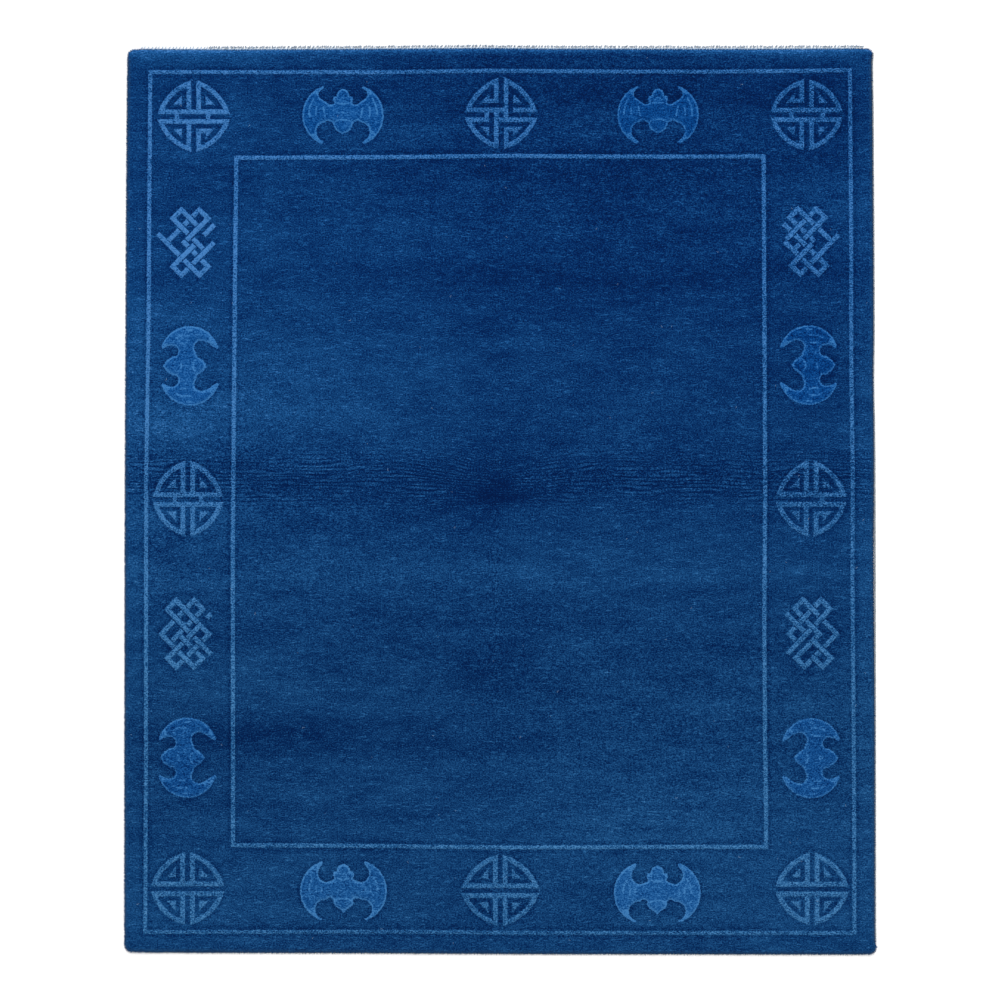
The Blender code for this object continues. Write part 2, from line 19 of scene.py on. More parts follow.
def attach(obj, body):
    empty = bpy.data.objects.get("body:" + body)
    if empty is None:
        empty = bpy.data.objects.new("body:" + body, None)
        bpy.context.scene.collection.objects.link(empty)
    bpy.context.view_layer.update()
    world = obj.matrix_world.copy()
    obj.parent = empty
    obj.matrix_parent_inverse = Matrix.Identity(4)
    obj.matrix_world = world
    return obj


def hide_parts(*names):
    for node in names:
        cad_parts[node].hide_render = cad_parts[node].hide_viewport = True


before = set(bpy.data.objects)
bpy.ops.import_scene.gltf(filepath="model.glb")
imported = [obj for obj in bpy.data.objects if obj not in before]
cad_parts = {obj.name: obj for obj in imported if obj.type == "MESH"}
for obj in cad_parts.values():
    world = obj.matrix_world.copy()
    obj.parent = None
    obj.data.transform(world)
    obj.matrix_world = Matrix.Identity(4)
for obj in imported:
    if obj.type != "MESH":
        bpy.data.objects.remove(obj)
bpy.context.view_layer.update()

# %% [markdown]
# ## Sizes
# The solids already have the rug's real size, so the numbers here only say how that surface was
# modelled: how thick the pile is, how far the light figures stand up, and how the ground swells and
# dips. They are the same values that the solids were made from, so the new surface lies on the old.

# %% Sizes shared with the solids
PILE_HEIGHT = 0.0125
RELIEF = 0.0014
SHOULDER_HEIGHT = 0.0105  # the top of the rug's side wall
ROLL_WIDTH = 0.012  # the pile reaches its full height this far in from the edge
UNEVENNESS = 0.0005
FOLD_Y = 0.068  # an old fold runs across the rug here
FOLD_HEIGHT = 0.0008
FOLD_WIDTH = 0.030
FOLD_LEAST = 0.45  # in the rug's middle the fold is this much of what it is at the sides


def bell(value, middle, reach):
    """1 where a value is at the middle, falling away smoothly on both sides of it."""
    return math.exp(-(((value - middle) / reach) ** 2))


def lie(x, y):
    """How far the ground lies above or below its mean height: soft waves and the old fold."""
    waves = math.sin(2.1 * x + 0.6) * math.cos(2.7 * y - 0.4) + 0.5 * math.sin(4.3 * y + 1.3 * x)
    fold = bell(y, FOLD_Y, FOLD_WIDTH) * (FOLD_LEAST + (1 - FOLD_LEAST) * min(abs(x), 1.0))
    return UNEVENNESS * waves + FOLD_HEIGHT * fold


print("the fold stands", round(lie(1.0, FOLD_Y) - lie(1.0, FOLD_Y + 0.1), 4), "m over the pile beside it")

# %% [markdown]
# ## Two small helpers
# Blender's nodes take linear light, while a colour given here is an sRGB hex value, so one function
# turns the second into the first. Another adds one node to a tree with its settings and its links,
# which keeps the material and geometry trees below short enough to read.

# %% Helpers for colours and nodes


def linear(hex_colour):
    """An sRGB hex colour as the linear RGBA that the nodes take."""
    parts = [int(hex_colour[k : k + 2], 16) / 255 for k in (0, 2, 4)]
    return (*[p / 12.92 if p <= 0.04045 else ((p + 0.055) / 1.055) ** 2.4 for p in parts], 1.0)


def add_node(tree, kind, inputs=None, **settings):
    """Add a node with its settings. Each input is a value, a socket, or a node for its first output."""
    made = tree.nodes.new(kind)
    for name, value in settings.items():
        setattr(made, name, value)
    for key, value in (inputs or {}).items():
        if isinstance(value, bpy.types.Node):
            value = value.outputs[0]
        if isinstance(value, bpy.types.NodeSocket):
            tree.links.new(value, made.inputs[key])
        else:
            made.inputs[key].default_value = value
    return made


print("mid grey is", round(linear("808080")[0], 3), "in linear light")

# %% [markdown]
# ## Where the light figures end
# On the real rug the light wool figures stand a little above the blue ground, because the weaver's
# clippers carved a groove round each of them. Their outlines are already in the solid, as the edges
# between its raised and its low faces. The solid's mesh is loose triangles, so a copy of it is merged
# first, and then every edge with a raised face on one side only belongs to an outline.

# %% Find the outlines in a merged copy of the solid
MERGE_DISTANCE = 0.00001
RAISED_SHARE = 0.7  # a corner this much of the relief above the ground counts as raised


def merged_copy(node):
    """The mesh of one of the solids as a bmesh, with its loose triangles joined."""
    copy = bmesh.new()
    copy.from_mesh(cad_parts[node].data)
    bmesh.ops.remove_doubles(copy, verts=copy.verts, dist=MERGE_DISTANCE)
    return copy


def is_raised(corner):
    """Whether a corner of the solid belongs to a raised figure."""
    x, y, z = corner.co
    return z - lie(x, y) - PILE_HEIGHT > RAISED_SHARE * RELIEF


solid_pile = merged_copy("knotted_pile")
raised_faces = [face for face in solid_pile.faces if all(is_raised(corner) for corner in face.verts)]
raised_set = set(raised_faces)
outline_edges = []
for edge in solid_pile.edges:
    owners = [face for face in edge.link_faces if face in raised_set]
    if len(owners) == 1:
        loop = next(loop for loop in owners[0].loops if loop.edge == edge)
        start, end = loop.vert.co.xy, loop.link_loop_next.vert.co.xy
        outline_edges.append((start.copy(), end.copy()))
outline_length = sum((end - start).length for start, end in outline_edges)
print(len(raised_faces), "raised faces,", len(outline_edges), "outline edges,", round(outline_length, 1), "m")

# %% [markdown]
# ## How far a point is from an outline
# Both the carving and the colours depend on the distance to the nearest outline, so that is worth a
# function. Each outline edge becomes an upright fence in a search tree, and the nearest fence gives
# the distance. A second tree holds the raised faces laid flat, and a point that lands on one of them
# is inside a figure. The distance is counted positive inside and negative outside.

# %% Signed distance to the nearest outline
FENCE = 0.5  # half the height of the fences, far more than the rug's thickness


def fence_tree(edges):
    """A search tree of upright faces that stand on these edges."""
    corners, faces = [], []
    for start, end in edges:
        first = len(corners)
        corners += [(*start, -FENCE), (*end, -FENCE), (*end, FENCE), (*start, FENCE)]
        faces.append((first, first + 1, first + 2, first + 3))
    return BVHTree.FromPolygons(corners, faces)


outline_tree = fence_tree(outline_edges)
flat_corners = [(*corner.co.xy, 0.0) for face in raised_faces for corner in face.verts]
flat_faces = [(3 * k, 3 * k + 1, 3 * k + 2) for k in range(len(raised_faces))]
figure_tree = BVHTree.FromPolygons(flat_corners, flat_faces)


def edge_distance(x, y):
    """Distance to the nearest outline, positive inside a figure."""
    away = outline_tree.find_nearest((x, y, 0.0))[3]
    inside = figure_tree.ray_cast((x, y, 1.0), (0.0, 0.0, -1.0))[0] is not None
    return away if inside else -away


print("the middle of the field is", round(-edge_distance(0.0, 0.0), 3), "m from the nearest figure")

# %% [markdown]
# ## Lines inside the bats
# Each bat has lighter lines on its wings and body, where the weaver changed the wool. They are drawn
# once for the three kinds of bat, half of each in the bat's own directions, across its span and
# towards its head, and then placed on each bat. A line is later carved and coloured by its distance.

# %% Draw and place the lines on the bats
# Name, kind, centre x, centre y, turn in degrees, how light its wool is, how much lighter its outline
# and lines are, how fresh its blue is.
BATS = (
    ("top_left", "broad", -0.5124, 1.2493, 0.0, 0.67, 0.38, 1.0),
    ("top_right", "broad", 0.5127, 1.2509, 0.0, 0.55, 0.34, 1.0),
    ("bottom_left", "long", -0.5107, -1.2742, 0.0, 0.71, 0.32, 0.5),
    ("bottom_right", "long", 0.5100, -1.2806, 0.0, 0.80, 0.28, 0.6),
    ("upper_side_left", "small", -1.0083, 0.4340, 90.0, 0.73, 0.36, 0.8),
    ("lower_side_left", "small", -1.0166, -0.8407, 90.0, 0.61, 0.26, 0.6),
    ("upper_side_right", "small", 1.0000, 0.4364, -90.0, 0.54, 0.34, 0.9),
    ("lower_side_right", "small", 1.0084, -0.8426, -90.0, 0.63, 0.26, 0.6),
)
BAT_HALF_SPAN = 0.145
BAT_HALF_HEIGHT = 0.112
BROAD_BAT_LINES = (
    ((0.097, 0.053), (0.107, 0.030), (0.111, 0.010), (0.110, -0.002)),
    ((0.086, 0.027), (0.088, 0.012), (0.087, -0.006)),
    ((0.064, 0.026), (0.061, 0.010), (0.058, -0.008)),
    ((0.0, -0.0138), (0.015, -0.0155), (0.028, -0.0225)),
    ((0.0, 0.038), (0.010, 0.0385), (0.022, 0.041)),
)
LONG_BAT_LINES = (
    ((0.096, 0.046), (0.107, 0.028), (0.111, 0.008), (0.110, -0.006)),
    ((0.088, 0.018), (0.089, -0.008)),
    ((0.072, 0.012), (0.072, -0.006)),
    ((0.0, -0.024), (0.018, -0.0268), (0.028, -0.035)),
    ((0.0, 0.037), (0.010, 0.038), (0.022, 0.044)),
)
SMALL_BAT_LINES = (
    ((0.090, 0.047), (0.097, 0.033), (0.098, 0.016), (0.098, -0.001)),
    ((0.074, 0.034), (0.073, 0.020), (0.074, 0.006)),
    ((0.116, 0.012), (0.117, -0.010)),
    ((0.0, -0.0075), (0.011, -0.0095), (0.020, -0.019)),
    ((0.0, 0.0285), (0.012, 0.034)),
)
BAT_LINES = {"broad": BROAD_BAT_LINES, "long": LONG_BAT_LINES, "small": SMALL_BAT_LINES}
HEAD_DOT = {"broad": 0.055, "long": 0.055, "small": 0.038}  # a light dash this far up the head
DOT_LENGTH = 0.005


def placed(u, v, x, y, degrees):
    """A point in a bat's own directions as a point on the rug."""
    cos, sin = math.cos(math.radians(degrees)), math.sin(math.radians(degrees))
    return Vector((x + cos * u - sin * v, y + sin * u + cos * v))


def bat_lines():
    """Every line on every bat, as runs of points on the rug."""
    runs = []
    for _, kind, x, y, degrees, *_ in BATS:
        dot = ((0.0, HEAD_DOT[kind]), (DOT_LENGTH, HEAD_DOT[kind] + 0.001))
        for half in (*BAT_LINES[kind], dot):
            for side in (1, -1):
                runs.append([placed(side * u, v, x, y, degrees) for u, v in half])
    return runs


bat_runs = bat_lines()
bat_line_edges = [pair for run in bat_runs for pair in zip(run, run[1:])]
bat_line_tree = fence_tree(bat_line_edges)


def bat_wool_at(x, y):
    """Tone, lighter marks and freshness of the bat round this point, or None away from the bats."""
    for _, _, bat_x, bat_y, degrees, *wool_values in BATS:
        reach = (BAT_HALF_SPAN, BAT_HALF_HEIGHT) if degrees == 0.0 else (BAT_HALF_HEIGHT, BAT_HALF_SPAN)
        if abs(x - bat_x) < reach[0] and abs(y - bat_y) < reach[1]:
            return wool_values
    return None


print(len(bat_runs), "lines on", len(BATS), "bats")

# %% [markdown]
# ## The points of the pile's top
# A fine even grid over seven square metres would need far too many points, so the points are put
# where the shape changes: along every outline, a little inside it, in the carved groove and beyond
# it, and along the lines on the bats. A loose grid fills the plain ground. One triangulation that
# keeps the outlines as edges then joins them all.

# %% Gather points and the edges that the triangulation must keep
OUTLINE_STEP = 0.0085
OUTLINE_OFFSETS = (0.0030, -0.0014, -0.0050)  # inside the figure, the groove's bottom, its far side
OFFSET_TOLERANCE = 0.25  # a point whose distance is wrong by more belongs to another outline
GRID_STEP = 0.0150
GRID_JITTER = 0.25
GRID_SEED = 5
GRID_WIDTH, GRID_FOOT, GRID_TOP = 1.205, 1.45, 1.44  # how far the grid runs from the middle
GRID_REACH = 1.2  # no loose point lies further to the side than this
CLEAR_OF_OUTLINES = 0.0085
BAT_LINE_STEP = 0.006
BAT_LINE_SIDES = 0.0032
RIM_STEP = 0.020
RIM_INSET = 0.0030  # the top's outermost points lie this far in from the wall
SELVAGE_WIDTH = 0.0048
SELVAGE_BULGE = 0.0036  # a little below the rug's middle the selvage shows this much more
BULGE_MIDDLE, BULGE_REACH = -0.22, 0.30
SELVAGE_SIDE = 1.15  # the right edge is what lies further out than this
SELVAGE_END = 1.455  # the selvage runs to the corners and narrows towards them
SELVAGE_TAPER = 0.020
SELVAGE_DENT = 0.0026  # above the middle the whole side is drawn in this much
DENT_MIDDLE, DENT_REACH = 0.38, 0.12


def split(start, end, step):
    """Points from start up to, but not at, end, about a step apart."""
    count = max(1, round((end - start).length / step))
    return [start.lerp(end, k / count) for k in range(count)]


def ordered_rim(mesh, height):
    """The loop of corners at this height on the solid's wall, anticlockwise."""
    ring = [vertex for vertex in mesh.verts if abs(vertex.co.z - height) < MERGE_DISTANCE]
    ring.sort(key=lambda vertex: math.atan2(vertex.co.y, vertex.co.x))
    return [vertex.co.xy.copy() for vertex in ring]


def selvage_bulge(y):
    """How much of the selvage's bulge there is at this place along the side, from 0 to 1."""
    return bell(y, BULGE_MIDDLE, BULGE_REACH)


def short_of(end, place, taper):
    """0 at an end and beyond it, rising to 1 for a place that is a taper's length short of it."""
    return min(max((end - abs(place)) / taper, 0.0), 1.0)


def selvage_room(place):
    """How far the wool stops short of the solid's right edge, to make room for the bound selvage."""
    if place.x < SELVAGE_SIDE:
        return 0.0
    from_corner = short_of(SELVAGE_END, place.y, SELVAGE_TAPER)
    dent = SELVAGE_DENT * bell(place.y, DENT_MIDDLE, DENT_REACH)
    return from_corner * (SELVAGE_WIDTH + SELVAGE_BULGE * selvage_bulge(place.y) + dent)


def drawn_in(ring, inset):
    """A loop moved inwards by an inset along its own corners' directions."""
    moved = []
    for k, here in enumerate(ring):
        before, after = ring[k - 1], ring[(k + 1) % len(ring)]
        along = (after - before).normalized()
        moved.append(here + Vector((-along.y, along.x)) * inset)
    return moved


points, kept_edges = [], []


def keep_run(run, closed):
    """Add a run of points whose edges the triangulation must keep."""
    first = len(points)
    points.extend(run)
    last = len(run) if closed else len(run) - 1
    kept_edges.extend((first + k, first + (k + 1) % len(run)) for k in range(last))


floor_ring = ordered_rim(solid_pile, 0.0)
rim = []
for k, corner in enumerate(floor_ring):
    rim += split(corner, floor_ring[(k + 1) % len(floor_ring)], RIM_STEP)
rim = [place - Vector((selvage_room(place), 0.0)) for place in rim]
keep_run(drawn_in(rim, RIM_INSET), closed=True)
rim_count = len(rim)
keep_run(drawn_in(rim, ROLL_WIDTH), closed=True)

corner_index = {}
for start, end in outline_edges:
    run = split(start, end, OUTLINE_STEP) + [end]
    ids = []
    for place in run:
        key = (round(place.x, 6), round(place.y, 6))
        if key not in corner_index:
            corner_index[key] = len(points)
            points.append(place)
        ids.append(corner_index[key])
    kept_edges += list(zip(ids, ids[1:]))
    out = Vector((end.y - start.y, start.x - end.x)).normalized()
    for a, b in zip(run, run[1:]):
        middle = (a + b) / 2
        for offset in OUTLINE_OFFSETS:
            place = middle - out * offset
            if abs(edge_distance(*place) - offset) < OFFSET_TOLERANCE * abs(offset):
                points.append(place)
print(len(points), "points along the rim and the outlines")

for run in bat_runs:
    for start, end in zip(run, run[1:]):
        for place in split(start, end, BAT_LINE_STEP):
            side = Vector((start.y - end.y, end.x - start.x)).normalized() * BAT_LINE_SIDES
            points += [place, place + side, place - side]

rng = random.Random(GRID_SEED)
columns = range(-int(GRID_WIDTH / GRID_STEP), int(GRID_WIDTH / GRID_STEP) + 1)
rows = range(-int(GRID_FOOT / GRID_STEP), int(GRID_TOP / GRID_STEP) + 1)
shift = GRID_STEP * GRID_JITTER
for row in rows:
    for column in columns:
        x = (column + 0.5 * (row % 2)) * GRID_STEP + rng.uniform(-shift, shift)
        y = row * GRID_STEP + rng.uniform(-shift, shift)
        clear = outline_tree.find_nearest((x, y, 0.0))[3]
        if clear > CLEAR_OF_OUTLINES and abs(x) < GRID_REACH:
            points.append(Vector((x, y)))
print(len(points), "points in all")

# %% [markdown]
# ## Carving
# The height of each point follows from its distance to the nearest outline. Inside a figure the pile
# is full and its edge is rounded by the clippers. Just outside it lies the carved groove, and further
# out the plain ground. The lines on the bats stand up a little. The nap leans towards -Y, so the side
# of a groove that faces +Y lies open, and the other side is half hidden under leaning wool.

# %% Triangulate, set the heights and close the rug underneath
GROOVE_DEPTH = 0.0013
GROOVE_MIDDLE = 0.0014
GROOVE_REACH = 0.0030
ROUNDED = 0.0045  # how far in from an outline the edge is rounded
ROUNDED_DROP = 0.30  # the share of the relief that the rounding takes off at the outline
BAT_LINE_REACH = 0.0030
BAT_LINE_HEIGHT = 0.0004
WALL = ((0.0008, 0.0), (0.0, 0.0022), (0.0002, 0.0060), (0.0012, 0.0088))  # inset and height
DISTANCE_LIMIT = 0.012
UNDERSIDE = -0.5  # a face that looks down more than this is the flat underside


def carved_height(distance, line_distance):
    """How far the wool stands over the clipped ground."""
    if distance > 0:
        rounded = max(0.0, 1 - distance / ROUNDED) ** 2
        ridge = BAT_LINE_HEIGHT * max(0.0, 1 - (line_distance / BAT_LINE_REACH) ** 2)
        return RELIEF * (1 - ROUNDED_DROP * rounded) + ridge
    return -GROOVE_DEPTH * bell(distance, -GROOVE_MIDDLE, GROOVE_REACH)


# The rim is given as a face, and a triangle beyond it, where the edge curves in, belongs to no face.
ALL_TRIANGLES = 0  # the triangulation's own choice of what to return
rim_face = list(range(rim_count))
made = delaunay_2d_cdt(points, kept_edges, [rim_face], ALL_TRIANGLES, MERGE_DISTANCE, True)
flat_points, sources = made[0], made[3]
flat_triangles = [triangle for triangle, faces in zip(made[2], made[5]) if faces]
print(len(flat_points), "corners and", len(flat_triangles), "triangles on top")

heights, distances, line_distances, rim_marks = [], [], [], []
for place, source in zip(flat_points, sources):
    x, y = place
    distance = edge_distance(x, y)
    line_distance = bat_line_tree.find_nearest((x, y, 0.0))[3]
    rim_marks.append(any(k < rim_count for k in source))
    if rim_marks[-1]:
        heights.append(SHOULDER_HEIGHT)
    else:
        heights.append(PILE_HEIGHT + lie(x, y) + carved_height(distance, line_distance))
    distances.append(distance)
    line_distances.append(line_distance)

# %% [markdown]
# ## Tone of the ground
# Hand-dyed wool is never one blue. Lots of yarn differ from one another and show as bands across the
# rug, wear and light have bleached some places, and the fold has left a dark band. Some of the bands
# are also painted sheen and shade, where the nap lies different ways and catches the light more or
# less. A tone of 0 is black and 1 the lightest wool. A few broad washes, each a soft ellipse that
# makes the wool lighter or darker, are added up at every point, and noise in the material does the
# rest. The washes also hold a painted highlight along the top edge.

# %% Broad washes of lighter and darker tone, partly wool and partly painted sheen and shade
GROUND_TONE = 0.450
# Middle x, middle y, reach across, reach along, how much lighter.
WASHES = (
    (-1.00, 0.70, 0.70, 0.80, 0.06),  # the top's left side
    (0.50, 0.95, 0.75, 0.40, -0.08),  # the top's right side
    (0.10, 0.72, 1.30, 0.05, -0.08),
    (0.10, 1.33, 1.20, 0.07, -0.10),
    (0.00, 1.07, 1.00, 0.07, -0.06),
    (-0.75, 0.35, 0.55, 0.13, 0.08),
    (0.00, 0.50, 1.00, 0.04, 0.04),
    (-1.05, 0.25, 0.30, 0.08, 0.11),
    (0.00, 0.06, 1.50, 0.07, -0.10),  # the fold
    (-0.03, 0.02, 0.28, 0.08, -0.06),
    (-0.01, 0.02, 0.06, 0.035, -0.12),  # a dark spot where the fold meets the crease down the middle
    (-0.10, -0.55, 0.06, 0.045, -0.08),
    (-0.12, -0.40, 0.07, 0.03, -0.05),
    (-0.38, -0.38, 0.13, 0.03, -0.04),
    (0.00, -1.00, 3.00, 0.60, 0.035),
    (-1.05, -0.30, 0.25, 0.08, 0.05),
    (0.98, -0.20, 0.12, 0.08, 0.05),
    (1.00, -1.30, 0.20, 0.14, 0.05),
    (-1.02, -1.36, 0.15, 0.08, 0.06),
    (0.05, 1.43, 0.40, 0.04, -0.05),
    (0.75, 1.33, 0.35, 0.05, -0.05),
    (-0.10, 1.445, 0.75, 0.020, -0.05),
    (1.14, 1.20, 0.08, 0.06, -0.07),
    (0.92, 1.02, 0.15, 0.06, 0.05),
    (-1.17, 0.56, 0.06, 0.09, 0.08),
    (-0.94, 0.38, 0.06, 0.05, -0.05),
    (-0.45, 0.28, 0.18, 0.04, 0.06),
    (0.10, 0.20, 0.25, 0.03, -0.05),
    (0.38, 0.04, 0.15, 0.03, 0.06),
    (-0.68, -0.01, 0.18, 0.02, -0.06),
    (0.05, -0.01, 0.22, 0.02, -0.05),
    (0.00, -0.24, 1.50, 0.06, 0.10),
    (0.00, -0.14, 1.50, 0.04, 0.03),
    (-1.02, -0.04, 0.28, 0.05, 0.10),
    (-0.85, -0.44, 0.30, 0.04, -0.04),
    (-0.85, -0.60, 0.40, 0.08, 0.06),
    (1.00, -0.66, 0.35, 0.08, 0.07),
    (-0.65, -0.77, 0.50, 0.06, -0.12),
    (-1.05, -0.81, 0.25, 0.05, -0.05),
    (-0.05, -0.55, 0.20, 0.08, -0.05),
    (0.60, -1.10, 0.70, 0.20, 0.09),
    (-0.80, -1.25, 0.60, 0.15, 0.05),
    (0.00, -1.44, 1.20, 0.05, 0.03),  # the bottom edge
    (-1.10, -1.34, 0.40, 0.05, 0.06),
    (0.90, -1.36, 0.40, 0.05, 0.06),
    (1.20, 0.00, 0.07, 1.60, 0.10),  # the right edge
    (-1.20, -0.10, 0.07, 0.90, 0.08),  # the left edge
    (-1.05, 1.44, 0.45, 0.035, 0.08),  # the top edge
    (1.05, 1.44, 0.25, 0.03, 0.05),
    (0.00, 1.465, 3.00, 0.012, 0.36),  # painted highlight where the wool bends over the top edge and faces the light
    # two more painted highlights along the top edge
    (-0.95, 1.455, 0.40, 0.018, 0.13),
    (0.85, 1.457, 0.30, 0.014, 0.09),
    (1.07, 1.27, 0.12, 0.20, -0.05),
    (1.05, 0.93, 0.25, 0.08, 0.07),
    (1.00, 0.42, 0.25, 0.14, -0.05),
    (1.00, 0.22, 0.20, 0.07, 0.03),
    (-1.05, 0.61, 0.25, 0.05, 0.08),
    (-1.05, 1.00, 0.25, 0.06, -0.06),
    (-0.01, 0.10, 0.09, 1.40, -0.04),  # a faint crease down the middle
)


def washed(washes, x, y):
    """How much these washes together lighten or darken the wool at a place."""
    tone = 0.0
    for middle_x, middle_y, across, along, strength in washes:
        reach = ((x - middle_x) / across) ** 2 + ((y - middle_y) / along) ** 2
        tone += strength * math.exp(-reach)
    return tone


def ground_tone(x, y):
    """The ground's tone at a place: the plain tone and every wash."""
    return GROUND_TONE + washed(WASHES, x, y)


top_tone, foot_tone = ground_tone(0.4, 0.9), ground_tone(0.4, -0.9)
print("the ground's tone is", round(top_tone, 2), "at the top and", round(foot_tone, 2), "at the foot")

# %% [markdown]
# ## Tone of the figures and painted shade of the carving
# The light figures are a few shades lighter than the ground they stand in, and the lots of light wool
# differ too. The bats are of a deeper blue. The carved groove round a figure gets a painted shadow in
# the ground's tone, more on the side that faces away from the rug's middle, because the nap lies over
# the other side. The distances are kept as well, because the material draws the figures' ragged
# edges, the bats' light outlines and the lines on them from how far each spot is from the outline or
# the line.

# %% Give every point its tone
FIGURE_LIFT = 0.40  # how much lighter the light wool is than the ground round it
FIGURE_LIFT_SLOPE = 0.05  # more so towards the top, less towards the bottom
# Lots of light wool that differ: middle x, middle y, reach across, reach along, how much lighter.
FIGURE_WASHES = (
    (-1.00, 1.24, 0.13, 0.13, 0.10),
    (-1.01, 0.83, 0.13, 0.14, 0.32),
    (-1.03, -0.44, 0.12, 0.13, 0.11),
    (1.02, -0.44, 0.12, 0.13, 0.05),
    (1.00, 1.25, 0.13, 0.13, -0.08),
    (1.00, 0.84, 0.12, 0.13, 0.04),
    (1.01, 0.00, 0.12, 0.13, -0.10),
    (-1.01, 0.00, 0.12, 0.13, -0.02),
    (-1.01, -1.27, 0.13, 0.13, -0.04),
    (0.00, -1.27, 0.13, 0.13, -0.04),
    (1.01, -1.27, 0.13, 0.13, -0.03),
    (1.145, 0.00, 0.03, 3.00, -0.07),  # the outer line's right side, its top and its bottom
    (0.00, 1.392, 3.00, 0.02, -0.05),
    (0.00, -1.410, 3.00, 0.02, -0.11),
    (0.00, 1.114, 0.90, 0.02, 0.05),  # the inner line's top and bottom
    (0.00, -1.130, 0.90, 0.02, -0.04),
)
# Painted shade in the carved groove: how much darker it makes the ground, where it is darkest outside an
# outline and how far it reaches.
GROOVE_SHADE = -0.11
GROOVE_SHADE_MIDDLE = 0.0042
GROOVE_SHADE_REACH = 0.0026
INNER_SIDE_SHARE = 0.35
FOOT_ROW = -1.0  # below this a figure gets the painted groove shade on both sides
CREASE_REACH = 0.085  # how far each side of the fold its pleating reaches
CREASE_QUIET = 0.20
CREASE_X, CREASE_Y = -0.016, 0.012  # the pleats draw together where the two creases cross
PLEAT_SPACING = 0.0125
PLEAT_PINCH, PINCH_REACH = 0.60, 0.30  # near there they lie this much closer, within this reach
PUCKER_REACH = 0.024  # half the width of the puckered wool along the crease down the middle
PUCKER_MIDDLE, PUCKER_ALONG = -0.35, 0.40  # it is strongest here and for this far each way
PUCKER_LEAST = 0.35
BAT_SPILL, FIGURE_SPILL = 0.0008, 0.0005  # the figures' light wool leans out over the groove this far
TOP_FIGURE_SPILL = 0.0002
KNOT_SPILL = -0.0003  # the ground's wool fills the gaps where a knot's strands cross
KNOT_ROWS, KNOT_REACH = (0.84, -0.44), 0.17
FOOT_LINE_SPILL = -0.0003  # at the foot the ground's wool leans over the edge of the lines
FOOT_LINES_TOP = -1.125
BORDER_INNER, BORDER_OUTER = (0.885, 1.145), (1.125, 1.375)  # half sizes between which the figures lie
WORN_TOP = 1.44  # below this the rug's outermost wool is worn


def painted_groove_shade(x, y, distance):
    """How much painted shade darkens the ground in the carved groove beside a figure."""
    nearest = outline_tree.find_nearest((x, y, 0.0))[0]
    outward = (x - nearest.x) * x + (y - nearest.y) * y > 0
    share = 1.0 if outward or y < FOOT_ROW else INNER_SIDE_SHARE
    return share * GROOVE_SHADE * bell(-distance, GROOVE_SHADE_MIDDLE, GROOVE_SHADE_REACH)


def figure_tone(x, y):
    """The tone of the light wool, or of a bat's wool."""
    bat_wool = bat_wool_at(x, y)
    if bat_wool is not None:
        return bat_wool[0]
    return ground_tone(x, y) + FIGURE_LIFT + FIGURE_LIFT_SLOPE * y + washed(FIGURE_WASHES, x, y)


def crease_share(x, y):
    """How much of the old fold's pleating shows at a place: most at the sides, least in the middle."""
    from_middle = min(abs(x) / CREASE_QUIET, 1.0)
    return bell(y, FOLD_Y, CREASE_REACH) * (FOLD_LEAST + (1 - FOLD_LEAST) * from_middle)


def pleat_row(x, y):
    """The pleat at a place, counted from the fold's middle, closer together where they meet."""
    spread = PLEAT_PINCH + (1 - PLEAT_PINCH) * min(abs(x - CREASE_X) / PINCH_REACH, 1.0)
    return (y - CREASE_Y) / (PLEAT_SPACING * spread)


def puckered(x, y):
    """How much the crease down the middle puckers the wool at a place."""
    along = PUCKER_LEAST + (1 - PUCKER_LEAST) * bell(y, PUCKER_MIDDLE, PUCKER_ALONG)
    return along * bell(x, CREASE_X, PUCKER_REACH)


def spill(x, y):
    """How far a figure's light wool leans out over its groove. Only at the foot do the lines change."""
    if bat_wool_at(x, y) is not None:
        return BAT_SPILL
    past_inner = abs(x) > BORDER_INNER[0] or abs(y) > BORDER_INNER[1]
    short_of_outer = abs(x) < BORDER_OUTER[0] and abs(y) < BORDER_OUTER[1]
    if past_inner and short_of_outer:
        if any(abs(y - row) < KNOT_REACH for row in KNOT_ROWS):
            return KNOT_SPILL
        return TOP_FIGURE_SPILL if y > BORDER_INNER[1] else FIGURE_SPILL
    return FOOT_LINE_SPILL if y < FOOT_LINES_TOP else 0.0


def limited(distance):
    """A distance kept within the reach that the material needs."""
    return max(-DISTANCE_LIMIT, min(DISTANCE_LIMIT, distance))


tone_names = ("ground_tone", "figure_tone", "bat_marks", "fresh_dye", "edge_distance", "line_distance")
tones = {name: [] for name in (*tone_names, "creased", "pleat_row", "puckered", "worn")}
for (x, y), distance, line_distance, on_rim in zip(flat_points, distances, line_distances, rim_marks):
    bat_wool = bat_wool_at(x, y) or (0.0, 0.0, 0.0)
    # the ground's tone here includes the painted shade of the carved groove
    tones["ground_tone"].append(ground_tone(x, y) + painted_groove_shade(x, y, distance))
    tones["figure_tone"].append(figure_tone(x, y))
    tones["bat_marks"].append(bat_wool[1])
    tones["fresh_dye"].append(bat_wool[2])
    tones["edge_distance"].append(limited(distance + spill(x, y)))
    tones["line_distance"].append(limited(line_distance))
    tones["creased"].append(crease_share(x, y))
    tones["pleat_row"].append(pleat_row(x, y))
    tones["puckered"].append(puckered(x, y))
    tones["worn"].append(1.0 if on_rim and y < WORN_TOP else 0.0)
print("tones run from", round(min(tones["ground_tone"]), 2), "to", round(max(tones["figure_tone"]), 2))

# %% Make the pile's mesh
pile_mesh = bmesh.new()
layers = {name: pile_mesh.verts.layers.float.new(name) for name in tones}
corners = []
for k, place in enumerate(flat_points):
    corner = pile_mesh.verts.new((*place, heights[k]))
    for name, layer in layers.items():
        corner[layer] = tones[name][k]
    corners.append(corner)
for triangle in flat_triangles:
    pile_mesh.faces.new([corners[k] for k in triangle])

